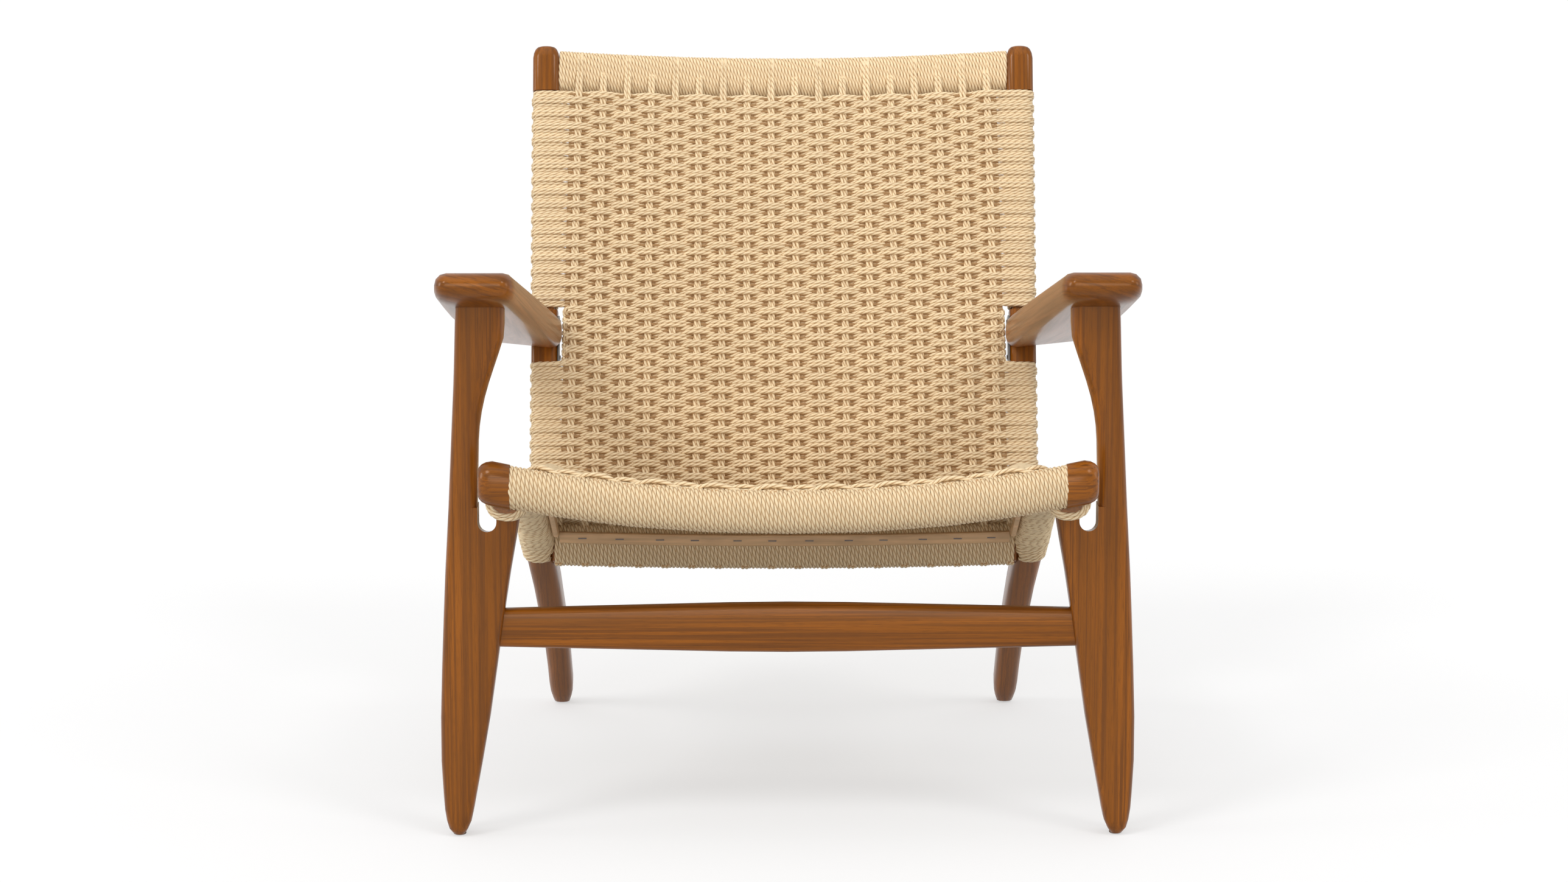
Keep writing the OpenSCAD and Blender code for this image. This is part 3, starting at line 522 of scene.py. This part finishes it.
def hard_pad(tree):
    """Hard brown glide."""
    speck = stretched_noise(tree, (900.0, 900.0, 900.0), 3.0, 0.6)
    tone = ramp(tree, speck, (0.3, (0.07, 0.035, 0.015, 1.0)), (0.7, (0.13, 0.07, 0.035, 1.0)))
    return {"Base Color": tone, "Roughness": 0.55}


# ---- the wooden pieces and the small parts ----

def merged_copy(node, name):
    """A new mesh with a CAD node's surface, its loose triangles joined."""
    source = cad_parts[node].data
    shell = bmesh.new()
    shell.from_mesh(source)
    bmesh.ops.remove_doubles(shell, verts=shell.verts, dist=1e-5)
    bmesh.ops.dissolve_degenerate(shell, edges=shell.edges, dist=1e-6)
    points = [v.co.copy() for v in shell.verts]
    shell.verts.index_update()
    faces = [[v.index for v in f.verts] for f in shell.faces]
    shell.free()
    mesh = bpy.data.meshes.new(name)
    mesh.from_pydata(points, [], faces)
    return mesh


def finished(node, material, grain=None, angle=38.0):
    """A smooth-shaded copy in a CAD node's place, with grain coordinates where it is wood."""
    mesh = merged_copy(node, node + "_finished")
    mesh.shade_smooth()
    mesh.set_sharp_from_angle(angle=math.radians(angle))
    mesh.materials.append(material)
    if grain:
        values = mesh.attributes.new("grain", "FLOAT_VECTOR", "POINT")
        values.data.foreach_set("vector", np.array([grain(v.co) for v in mesh.vertices]).ravel())
    piece = bpy.data.objects.new(node + "_finished", mesh)
    bpy.context.scene.collection.objects.link(piece)
    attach(piece, "root")
    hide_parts(node)


def along_direction(direction, offset=0.0, layers=None):
    """Grain coordinates for a straight piece, or for a flat board with layers across the given direction."""
    along = Vector(direction).normalized()
    side = along.orthogonal().normalized()
    other = along.cross(side)
    flat = 1.0
    if layers is not None:
        side = (Vector(layers) - along * along.dot(layers)).normalized()
        other = along.cross(side)
        flat = 0.12

    def place(p):
        return (p.dot(along) + offset, p.dot(side) + offset * 0.37, p.dot(other) * flat + offset * 0.21)
    return place


def back_axes():
    """Foot, direction up the stiles and direction to the front of the back frame."""
    sizes_of = sizes("chair_frame")
    lean = sizes_of.back_lean
    up = Vector((0.0, math.sin(lean), math.cos(lean)))
    front = Vector((0.0, -math.cos(lean), math.sin(lean)))
    return Vector(sizes_of.back_foot), up, front


class BackPanel:
    """The curved surface that the back cords lie in."""

    def __init__(self):
        self.foot, self.up, self.front = back_axes()
        tree = tree_of("back_weave")
        reach = 0.2
        self.xs = np.linspace(-0.236, 0.236, 33)
        self.ups = np.linspace(0.016, 0.516, 26)
        level = np.zeros((len(self.ups), len(self.xs)))
        for j, s in enumerate(self.ups):
            for i, x in enumerate(self.xs):
                at = self.foot + X_AXIS * x + self.up * s
                hit = tree.ray_cast(at + self.front * reach, -self.front, 2 * reach)[0]
                level[j, i] = (hit - at).dot(self.front) - PANEL_HALF
        for _ in range(2):
            soften(level)
            soften(level.T)
        self.level = level

    def depth(self, x, s):
        """How far the middle of the panel lies in front of the stiles' front plane."""
        beyond = max(0.0, abs(x) - self.xs[-1])
        return level_at(self.level, self.xs, self.ups, x, s) + beyond * 0.02

    def point(self, x, s, n):
        """A place x across, s up and n in front of the panel's foot."""
        return self.foot + X_AXIS * x + self.up * s + self.front * n


def warp_places(spacing):
    """Middle of each pair of warps."""
    count = sizes("chair_cord").warps
    return [(i - (count - 1) / 2) * spacing for i in range(count)]


def back_spacing(s):
    """Spacing of the warps at a place up the back."""
    f = sizes("chair_frame")
    return f.back_warp * (1 - f.back_draw * s)


def weave_wave(x, spacing, row, first):
    """From -1 under a warp to 1 over it."""
    count = sizes("chair_cord").warps
    phase = x / spacing + (count - 1) / 2
    wave = math.cos(math.pi * (phase + row + first))
    return math.copysign(abs(wave) ** 0.8, wave)


# ---- windings round the rails that lie across the chair ----

def rail_winding(tree, centre_at, a, b, pitch, first, last, out, step=15.0):
    """One cord wound round a rail, a full turn for each pitch."""
    per_turn = int(round(360 / step))
    line = []
    for turn in range(first, last + 1):
        for k in range(per_turn):
            t = -math.pi + 2 * math.pi * k / per_turn
            centre = centre_at((turn + t / (2 * math.pi)) * pitch)
            ray = a * math.cos(t) + b * math.sin(t)
            hit, normal, _, _ = tree.ray_cast(centre + ray * 0.06, -ray, 0.06)
            if hit is None:
                continue
            normal = (normal - X_AXIS * normal.x).normalized()
            if normal.dot(ray) < 0:
                normal = -normal
            line.append(hit + normal * out)
    return eased(line)


def in_lengths(line, most=4000):
    """A very long path cut into lengths that share their end points."""
    return [line[i:i + most + 1] for i in range(0, len(line) - 1, most)]


# ---- the bent side frames ----

class SideFrame:
    """The middle line of one bent side frame, from its front end to its foot."""

    def __init__(self, side, name):
        f = sizes("chair_frame")
        self.side, self.tree = side, tree_of("side_frame_" + name)
        leg_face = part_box("front_leg_left")[0][1]
        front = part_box("side_frame_" + name)[0][1]
        depths = np.linspace(front, f.bend_start[0], 30)
        line = [(y, f.rail_height - f.rail_fall * (y - leg_face)) for y in depths]
        a, k, c = (np.array(p) for p in (f.bend_start, f.bend_knee, f.bend_end))
        bend = [tuple((1 - t) ** 2 * a + 2 * t * (1 - t) * k + t * t * c) for t in np.linspace(0.04, 1, 24)]
        fall = np.array((math.cos(f.foot_slope), -math.sin(f.foot_slope)))
        leg = [tuple(c + fall * d) for d in np.linspace(0.01, 0.30, 30)]
        self.points = np.array(line + bend + leg)
        steps = np.hypot(*np.diff(self.points, axis=0).T)
        self.arc = np.concatenate(([0.0], np.cumsum(steps)))
        self.xs = np.array([self.middle_x(y, z, f.rail_x) for y, z in self.points])
        soften(self.xs, 4)

    def middle_x(self, y, z, guess):
        """Middle of the piece across the chair at one place."""
        at = Vector((self.side * guess, y, z))
        low, high = span(self.tree, at, X_AXIS, 0.06)
        inside = low and high and 0.02 < (high - low).length < 0.034
        return 0.5 * (low.x + high.x) if inside else self.side * guess

    def at(self, s):
        """Centre, tangent and upward normal at one place along the middle line."""
        y, z, x = (np.interp(s, self.arc, v) for v in (self.points[:, 0], self.points[:, 1], self.xs))
        e = 0.004
        dy = np.interp(s + e, self.arc, self.points[:, 0]) - np.interp(s - e, self.arc, self.points[:, 0])
        dz = np.interp(s + e, self.arc, self.points[:, 1]) - np.interp(s - e, self.arc, self.points[:, 1])
        tangent = Vector((0.0, dy, dz)).normalized()
        return Vector((x, y, z)), tangent, Vector((0.0, -tangent.z, tangent.y))

    def arc_at_depth(self, y):
        """Length along the middle line to a place at this depth."""
        return float(np.interp(y, self.points[:, 0], self.arc))

    def loop(self, s, first, last, out, step=14.0):
        """A cord's path round the piece, from one angle to another: 0 is outward and 90 is up."""
        centre, _, up = self.at(s)
        return outline(self.tree, centre, X_AXIS * self.side, up, degrees(first, last, step), out, 0.05)

    def grain(self, p):
        """Grain coordinates that follow the bend."""
        k = int(np.argmin((self.points[:, 0] - p.y) ** 2 + (self.points[:, 1] - p.z) ** 2))
        centre, tangent, up = self.at(self.arc[k])
        return (self.arc[k] + (p - centre).dot(tangent) + self.side, p.x, (p - centre).dot(up))


# ---- the seat ----

class SeatPanel:
    """The curved surface that the seat cords lie in."""

    def __init__(self):
        self.front, self.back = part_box("seat_weave")[0][1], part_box("seat_weave")[1][1]
        panel, rail = tree_of("seat_weave"), tree_of("seat_front_rail")
        self.xs = np.linspace(-0.256, 0.256, 33)
        self.ys = np.linspace(self.front - 0.018, self.back - 0.002, 62)
        level = np.zeros((len(self.ys), len(self.xs)))
        for i, x in enumerate(self.xs):
            found = []
            for y in self.ys:
                hit = panel.ray_cast(Vector((x, y, 0.6)), -Z_AXIS)[0]
                over = rail.ray_cast(Vector((x, y, 0.6)), -Z_AXIS)[0]
                heights = [hit.z - PANEL_HALF] if hit else []
                heights += [over.z + OVER_RAIL] if over else []
                if heights:
                    found.append((y, max(heights)))
            level[:, i] = np.interp(self.ys, *zip(*found))
        soften(level)
        self.level = level
        drop = self.height(0.0, self.front + 0.03) - self.height(0.0, self.back - 0.03)
        self.slope = math.atan2(drop, self.back - self.front - 0.06)

    def height(self, x, y):
        """Height of the middle of the panel."""
        return level_at(self.level, self.xs, self.ys, x, y)


def seat_wefts():
    """Rows of two cords across the seat, each wound once round both side frames."""
    cord, f = sizes("chair_cord"), sizes("chair_frame")
    panel = SeatPanel()
    frames = {side: SideFrame(side, name) for side, name in SIDES}
    leg_front, leg_back = (corner[1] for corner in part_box("front_leg_left"))
    rail_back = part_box("seat_front_rail")[1][1]
    level_step = math.cos(panel.slope)
    first_y = rail_back - 0.009
    rows = int((panel.back - 0.003 - first_y) / (cord.row * level_step))
    edge = (cord.warps / 2 - 0.5) * f.seat_warp
    lines = []
    for row in range(rows):
        for half in (-1, 1):
            y = first_y + (row * cord.row + half * cord.row / 4) * level_step
            rail_y = max(y, rail_back + 0.004 + 0.5 * (y - first_y)) if y < rail_back + 0.008 else y
            middle = []
            for x in np.linspace(-SEAT_REACH, SEAT_REACH, 260):
                fade = 1 - ease(abs(x), edge + 0.004, edge + 0.012)
                wave = weave_wave(x, f.seat_warp, row, 0) * fade
                out = ease(abs(x), edge - 0.005, SEAT_REACH)
                at = y + (rail_y - y) * out
                middle.append((x, at + cord.rise * wave, panel.height(x, at) + cord.swing * wave))
            under_leg = leg_front - 0.002 < rail_y < leg_back + 0.002
            last = -40 if under_leg else -212
            on_rail = min(rail_y, f.bend_start[0])
            on_bend = max(0.0, rail_y - f.bend_start[0]) / level_step * BEND_STRETCH
            loops = {}
            for side, side_frame in frames.items():
                loops[side] = side_frame.loop(side_frame.arc_at_depth(on_rail) + on_bend, 112, last, ON_WOOD)
            lines.append(np.vstack((loops[-1][::-1], middle, loops[1])))
    return lines + seat_fan(panel)


def seat_fan(panel):
    """Cords that spread from behind the last rows down to the rear rail and close the slit between them."""
    low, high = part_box("rear_rail_wrap")
    depth = 0.5 * (low[1] + high[1]) + 0.005
    lines = []
    for share in np.linspace(-0.12, 1.0, 7):
        fan = []
        for x in np.linspace(-0.2655, 0.2655, 200):
            over = panel.height(x, 0.113)
            fan.append((x, depth, high[2] + (over - high[2]) * share))
        lines.append(np.array(fan))
    return lines


def seat_shade_core():
    """Plain strands that stand for the pressed cord sides between the rows of the seat, coloured as painted
    shade.
    """
    panel = SeatPanel()
    half_row = sizes("chair_cord").row * math.cos(panel.slope) / 2
    xs = np.linspace(-0.25, 0.25, 60)
    return [np.array([(x, y, panel.height(x, y) - CORE_DEPTH) for x in xs])
            for y in np.arange(panel.front + 0.001, panel.back - 0.004, half_row)]


def front_loops():
    """Cords wound on the ends of the side frames, under the front rail."""
    lines = []
    for side, name in SIDES:
        piece = SideFrame(side, name)
        first = piece.points[0][0] + 0.003
        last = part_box("seat_front_rail")[1][1] + 0.003
        for y in np.linspace(first, last, 5):
            lines.append(piece.loop(piece.arc_at_depth(y), -196, 16, ON_WOOD))
        for y in np.linspace(first + 0.002, last - 0.002, 4):
            lines.append(piece.loop(piece.arc_at_depth(y), -175, -5, SECOND_LAYER))
    return lines


def knee_loops():
    """Cords wound close together where the side frames bend, behind the last rows."""
    lines = []
    f = sizes("chair_frame")
    for side, name in SIDES:
        piece = SideFrame(side, name)
        end = piece.arc_at_depth(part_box("side_wrap_rear_" + name)[1][1]) - 0.026
        first = piece.arc_at_depth(f.bend_start[0])
        count = int((end - first) / (sizes("chair_cord").thickness * 0.95))
        for s in np.linspace(first, end, count):
            lines.append(piece.loop(s, 60, -240, 1.9 * MM))
    return lines


def seat_warp_cords():
    """Pairs of cords from the front rail to the rear rail, over the windings."""
    cord, f = sizes("chair_cord"), sizes("chair_frame")
    panel = SeatPanel()
    rails = {name: tree_of(name) for name in ("seat_front_rail", "seat_rear_rail")}
    lines = []
    for place in warp_places(f.seat_warp):
        for half in (-1, 1):
            x = place + half * f.seat_warp / cord.turns_per_warp / 2
            ends = []
            for name, first, last in (("seat_front_rail", 98, 50), ("seat_rear_rail", 118, -120)):
                low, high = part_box(name)
                at = Vector((x, 0.5 * (low[1] + high[1]), 0.5 * (low[2] + high[2])))
                bottom, top = span(rails[name], at, Z_AXIS)
                centre = Vector((x, at.y, 0.5 * (bottom.z + top.z)))
                ends.append(outline(rails[name], centre, Y_AXIS, Z_AXIS,
                                    degrees(first, last, 12), ON_WINDING))
            front, back = ends
            depths = np.linspace(front[-1][1] + 0.005, back[0][1] - 0.004, 90)
            middle = [(x, y, panel.height(x, y)) for y in depths]
            lines.append(eased(np.vstack((front, middle, back)), 2))
    return lines


def rail_winding_lines(name, a, b, spacing, half_length, out):
    """The windings of one cross rail."""
    tree = tree_of(name)
    pitch = spacing / sizes("chair_cord").turns_per_warp
    count = int(half_length / pitch)
    low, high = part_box(name)
    middle = (Vector(low) + Vector(high)) / 2
    places = np.linspace(-count * pitch, count * pitch, 41)
    starts = [Vector((x, middle.y, middle.z)) for x in places]
    centres = np.array([tuple(centre_of_section(tree, at, a, b)) for at in starts])

    def centre_at(x):
        return Vector([float(np.interp(x, places, centres[:, k])) for k in range(3)])
    return in_lengths(rail_winding(tree, centre_at, a, b, pitch, -count, count, out))


def centre_of_section(tree, at, a, b):
    """Middle of a bar's section near a point."""
    for _ in range(3):
        for ray in (a, b, a):
            first, last = span(tree, at, ray)
            if first and last:
                at = (first + last) / 2
            else:
                at = nearest_in_section(tree, at)
    return at


def nearest_in_section(tree, at):
    """A point moved sideways to just inside the surface nearest to it, in its own section."""
    near = tree.find_nearest(at)[0]
    inwards = Vector((0.0, near.y - at.y, near.z - at.z)).normalized()
    return Vector((at.x, near.y, near.z)) + inwards * 0.004


# ---- the back ----

def back_loop(tree, panel, side, s, first, last, out, step=14.0):
    """A cord's path round a stile: 0 degrees is outward and 90 is to the front."""
    low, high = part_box("back_stile_left")
    x = side * 0.5 * (abs(low[0]) + abs(high[0]))
    at = panel.point(x, s, -0.012)
    hit_front, hit_back = span(tree, at, panel.front, 0.08)
    centre = (hit_front + hit_back) / 2
    return outline(tree, centre, X_AXIS * side, panel.front, degrees(first, last, step), out, 0.05)


def back_rows():
    """Each row's place up the stiles, from the top."""
    cord, f = sizes("chair_cord"), sizes("chair_frame")
    rows = int(round((f.weft_top - f.weft_low - cord.row / 2) / cord.row)) + 1
    return [f.weft_top - cord.row / 4 - 0.0005 - r * cord.row for r in range(rows)]


def back_wefts():
    """Rows of two cords across the back, each wound once round both stiles."""
    cord, f = sizes("chair_cord"), sizes("chair_frame")
    panel = BackPanel()
    trees = {side: tree_of("back_stile_" + name) for side, name in SIDES}
    places = np.linspace(-BACK_REACH, BACK_REACH, 250)
    lowest, highest = f.notch_low - NOTCH_MARGIN, f.notch_high + NOTCH_MARGIN
    lines, turned = [], []
    for row, level in enumerate(back_rows()):
        short = f.notch_low < level < f.notch_high
        spacing = back_spacing(level)
        edge = (cord.warps / 2 - 0.5) * spacing
        for half in (1, -1):
            s = level + half * cord.row / 4
            beside = s
            if not short and lowest < s < highest:
                beside = lowest if level < f.notch_low + cord.row else highest
            middle = []
            for x in places:
                wave = weave_wave(x, spacing, row, 1)
                if abs(x) > edge:
                    last = weave_wave(math.copysign(edge, x), spacing, row, 1)
                    near = 1 - (0.15 if short else 0.35) * ease(abs(x), edge, edge + 0.007)
                    far = ease(abs(x), edge + 0.008, BACK_REACH)
                    wave = math.copysign(near + (MARGIN_WAVE - near) * far, last)
                at = s + cord.rise * wave + (beside - s) * ease(abs(x), edge + 0.004, BACK_REACH)
                middle.append(tuple(panel.point(x, at, panel.depth(x, at) + cord.swing * wave)))
            middle = np.array(middle)
            if short:
                lines.append(middle[np.abs(places) < edge + 0.0075])
                continue
            loops = {}
            for side in (-1, 1):
                out = 2.8 if weave_wave(side * edge, spacing, row, 1) > 0 else 1.2
                loops[side] = back_loop(trees[side], panel, side, beside, 116, -208, out * MM)
            lines.append(np.vstack((loops[-1][::-1], middle[2:-2], loops[1])))
        if short:
            turned.append((row, level, spacing))
    for row, level, spacing in turned:
        edge = (cord.warps / 2 - 0.5) * spacing
        for side, wide in ((-1, 0.75), (-1, 0.25), (1, 0.75), (1, 0.25)):
            out = math.copysign(0.85, weave_wave(side * edge, spacing, row, 1))
            turn = []
            for t in degrees(90, -90, 15):
                s = level - cord.row / 2 + wide * cord.row * math.sin(t)
                x = side * (edge + 0.0055 + (0.0015 + 0.0045 * wide) * math.cos(t))
                turn.append(tuple(panel.point(x, s, panel.depth(x, s) + out * cord.swing * math.sin(t))))
            lines.append(np.array(turn))
    return lines


def back_shade_core():
    """Plain strands that stand for the pressed cord sides between the rows of the back, coloured as painted
    shade.
    """
    cord = sizes("chair_cord")
    panel = BackPanel()
    lines = []
    for level in back_rows():
        for s in (level, level - cord.row / 2):
            half = (cord.warps / 2 - 0.5) * back_spacing(s) + 0.010
            lines.append(np.array([tuple(panel.point(x, s, panel.depth(x, s) - CORE_DEPTH))
                                   for x in np.linspace(-half, half, 60)]))
    return lines


def back_warp_cords():
    """Pairs of cords up the back, over both cross rails."""
    cord = sizes("chair_cord")
    panel = BackPanel()
    rails = {name: tree_of(name) for name in ("back_bottom_rail", "back_top_rail")}
    places = {"back_bottom_rail": 0.036, "back_top_rail": 0.5195}
    lines = []
    spread = {name: back_spacing(place) for name, place in places.items()}
    for warp in range(cord.warps):
        for half in (-1, 1):
            ends, across = [], []
            for name, first, last in (("back_bottom_rail", -250, 20), ("back_top_rail", -20, 250)):
                x = warp_places(spread[name])[warp] + half * spread[name] / cord.turns_per_warp / 2
                across.append(x)
                at = panel.point(x, places[name], panel.depth(x, places[name]) - 0.013)
                centre = centre_of_section(rails[name], at, panel.front, panel.up)
                out = 1.1 * MM if warp % 2 and name == "back_top_rail" else ON_WINDING
                angles = degrees(first, last, 12)
                ends.append(outline(rails[name], centre, panel.front, panel.up, angles, out))
            low, high = ends
            s_low = (Vector(low[-1]) - panel.foot).dot(panel.up)
            s_high = (Vector(high[0]) - panel.foot).dot(panel.up)
            middle = []
            for s in np.linspace(s_low + 0.006, s_high - 0.006, 90):
                x = across[0] + (across[1] - across[0]) * (s - s_low) / (s_high - s_low)
                middle.append(tuple(panel.point(x, s, panel.depth(x, s))))
            lines.append(eased(np.vstack((low, middle, high)), 2))
    return lines


# ---- the operators, one for each piece or group of like pieces ----

class CHAIR_OT_wood(bpy.types.Operator):
    """Finish the wooden pieces"""
    bl_idname = "chair.wood"
    bl_label = "Wooden pieces"

    def execute(self, context):
        wood = finish_of("stained_wood_finish", stained_wood)
        up = back_axes()[1]
        for side, name in SIDES:
            finished("front_leg_" + name, wood, along_direction(Z_AXIS, side))
            finished("armrest_" + name, wood,
                     along_direction((0.0, 1.0, -0.2345), side * 2, (0.22, 0.0, 1.0)))
            finished("back_stile_" + name, wood, along_direction(up, side * 3))
            finished("side_frame_" + name, wood, SideFrame(side, name).grain)
        for name in ("front_stretcher", "seat_front_rail", "seat_rear_rail", "back_top_rail",
                     "back_bottom_rail"):
            finished(name, wood, along_direction(X_AXIS, len(name) * 0.3))
        return {"FINISHED"}


class CHAIR_OT_rods(bpy.types.Operator):
    """Finish the rods under the seat"""
    bl_idname = "chair.rods"
    bl_label = "Rods"

    def execute(self, context):
        for name in ("seat_rod_rear", "seat_rod_left", "seat_rod_right"):
            finished(name, finish_of("rattan_finish", peeled_rod))
        return {"FINISHED"}


class CHAIR_OT_metal(bpy.types.Operator):
    """Finish the plates, screws, staples and glides"""
    bl_idname = "chair.metal"
    bl_label = "Metal and glides"

    def execute(self, context):
        steel = finish_of("bright_steel_finish", scratched_metal, (0.20, 0.19, 0.18), 0.40)
        dark = finish_of("dark_staple_finish", scratched_metal, (0.14, 0.12, 0.11), 0.45)
        for name in ("arm_plate_left", "arm_plate_right", "arm_screws"):
            finished(name, steel)
        finished("rod_staples", dark)
        for corner in ("front_left", "front_right", "rear_left", "rear_right"):
            finished("glide_" + corner, finish_of("glide_pad_finish", hard_pad))
        return {"FINISHED"}


class CHAIR_OT_windings(bpy.types.Operator):
    """Wind the cord round the cross rails"""
    bl_idname = "chair.windings"
    bl_label = "Rail windings"

    def execute(self, context):
        f = sizes("chair_frame")
        _, up, front = back_axes()
        rails = (("seat_front_rail", "front_rail_wrap", -Y_AXIS, Z_AXIS, f.seat_warp, 2.45 * MM, 0.0035),
                 ("seat_rear_rail", "rear_rail_wrap", -Y_AXIS, Z_AXIS, f.seat_warp, ON_WOOD, -0.002),
                 ("back_top_rail", "top_rail_wrap", front, up, back_spacing(0.52), ON_WOOD, 0.0025),
                 ("back_bottom_rail", "bottom_rail_wrap", front, up, back_spacing(0.04), ON_WOOD, -0.002))
        for seed, (rail, wrap, a, b, spacing, out, more) in enumerate(rails):
            half_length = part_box(wrap)[1][0] + more
            lines = rail_winding_lines(rail, a, b, spacing, half_length, out)
            cord_piece(wrap + "_cord", lines, (wrap,), seed + 1)
        return {"FINISHED"}


class CHAIR_OT_seat(bpy.types.Operator):
    """Weave the seat"""
    bl_idname = "chair.seat"
    bl_label = "Seat weave"

    def execute(self, context):
        rows = seat_wefts()
        third = len(rows) // 3 // 2 * 2
        cord_piece("seat_weft_front", rows[:third], ("seat_weave",), 11)
        cord_piece("seat_weft_middle", rows[third:2 * third], (), 12)
        cord_piece("seat_weft_rear", rows[2 * third:], (), 13)
        cord_piece("seat_warp_cords", seat_warp_cords(), (), 14)
        # Core strands: painted shade between the rows.
        cord_piece("seat_shade_core", seat_shade_core(), (), 17, core=True)
        cord_piece("side_front_loops", front_loops(), ("side_wrap_front_left", "side_wrap_front_right"), 15)
        cord_piece("side_knee_loops", knee_loops(), ("side_wrap_rear_left", "side_wrap_rear_right"), 16)
        return {"FINISHED"}


class CHAIR_OT_back(bpy.types.Operator):
    """Weave the back"""
    bl_idname = "chair.back"
    bl_label = "Back weave"

    def execute(self, context):
        rows = back_wefts()
        third = len(rows) // 3
        upper = ("back_weave", "stile_wrap_upper_left", "stile_wrap_upper_right")
        cord_piece("back_weft_top", rows[:third], upper, 21)
        cord_piece("back_weft_middle", rows[third:2 * third], (), 22)
        cord_piece("back_weft_low", rows[2 * third:], ("stile_wrap_lower_left", "stile_wrap_lower_right"), 23)
        cord_piece("back_warp_cords", back_warp_cords(), (), 24)
        # Core strands: painted shade between the rows.
        cord_piece("back_shade_core", back_shade_core(), (), 25, core=True)
        return {"FINISHED"}


def soft_sun(name, direction, width, strength):
    """A wide, even light that falls the same way everywhere."""
    data = bpy.data.lights.new(name, "SUN")
    data.angle = math.radians(width)
    data.energy = strength
    lamp = bpy.data.objects.new(name, data)
    lamp.rotation_euler = Vector(direction).to_track_quat("-Z", "Y").to_euler()
    bpy.context.scene.collection.objects.link(lamp)


class CHAIR_OT_stage(bpy.types.Operator):
    """Set up the floor, the lamps and the camera"""
    bl_idname = "chair.stage"
    bl_label = "Stage"

    def execute(self, context):
        stage = sizes("chair_stage")
        mesh = bpy.data.meshes.new("floor")
        reach = 40.0
        corners = [(x * reach, y * reach, 0.0) for x, y in ((-1, -1), (1, -1), (1, 1), (-1, 1))]
        mesh.from_pydata(corners, [], [(0, 1, 2, 3)])
        floor = bpy.data.objects.new("floor", mesh)
        context.scene.collection.objects.link(floor)
        material, tree, shader = new_finish("floor_white")
        output = next(n for n in tree.nodes if n.type == "OUTPUT_MATERIAL")
        seen = add_node(tree, "ShaderNodeLightPath").outputs
        feed(tree, shader, {"Base Color": grey(FLOOR_TONE), "Roughness": 0.9, "Specular IOR Level": 0.0})
        either = maths(tree, "MAXIMUM", seen["Is Camera Ray"], seen["Is Glossy Ray"])
        glow = add_node(tree, "ShaderNodeEmission",
                        {"Color": grey(1.0), "Strength": maths(tree, "MULTIPLY", either, FLOOR_GLOW)})
        both = add_node(tree, "ShaderNodeAddShader", {0: shader.outputs[0], 1: glow.outputs[0]})
        tree.links.new(both.outputs[0], output.inputs["Surface"])
        mesh.materials.append(material)

        world = bpy.data.worlds.new("studio")
        context.scene.world = world
        world.use_nodes = True
        tree = world.node_tree
        path = add_node(tree, "ShaderNodeLightPath").outputs
        strength = between(tree, path["Is Camera Ray"], WORLD_LIGHT, 1.0)
        feed(tree, tree.nodes["Background"], {"Color": grey(1.0), "Strength": strength})

        for lamp in LAMPS:
            soft_sun(*lamp)

        camera = bpy.data.cameras.new("camera")
        camera.lens = stage.lens
        camera.sensor_width = 36.0
        camera.clip_end = 200.0
        view = bpy.data.objects.new("camera", camera)
        view.location = stage.eye
        view.rotation_euler = (stage.pitch, 0.0, stage.yaw)
        context.scene.collection.objects.link(view)
        context.scene.camera = view
        context.scene.view_settings.view_transform = "Standard"
        return {"FINISHED"}


OPERATORS = (CHAIR_OT_stage, CHAIR_OT_wood, CHAIR_OT_rods, CHAIR_OT_metal, CHAIR_OT_windings,
             CHAIR_OT_seat, CHAIR_OT_back)


class CHAIR_PT_panel(bpy.types.Panel):
    """The chair's sizes and its pieces"""
    bl_idname = "CHAIR_PT_panel"
    bl_label = "Woven cord armchair"
    bl_space_type = "VIEW_3D"
    bl_region_type = "UI"
    bl_category = "Armchair"

    def draw(self, context):
        for name, group in GROUPS:
            box = self.layout.box()
            for field in group.__annotations__:
                box.prop(getattr(context.scene, name), field)
        for operator in OPERATORS:
            self.layout.operator(operator.bl_idname)


CLASSES = tuple(group for _, group in GROUPS) + OPERATORS + (CHAIR_PT_panel,)


def register():
    for cls in CLASSES:
        bpy.utils.register_class(cls)
    for name, group in GROUPS:
        setattr(bpy.types.Scene, name, bpy.props.PointerProperty(type=group))


def unregister():
    for name, _ in GROUPS:
        delattr(bpy.types.Scene, name)
    for cls in reversed(CLASSES):
        bpy.utils.unregister_class(cls)


def main():
    """Registers the add-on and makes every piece."""
    register()
    for operator in OPERATORS:
        area, name = operator.bl_idname.split(".")
        getattr(getattr(bpy.ops, area), name)()


if __name__ == "__main__":
    main()
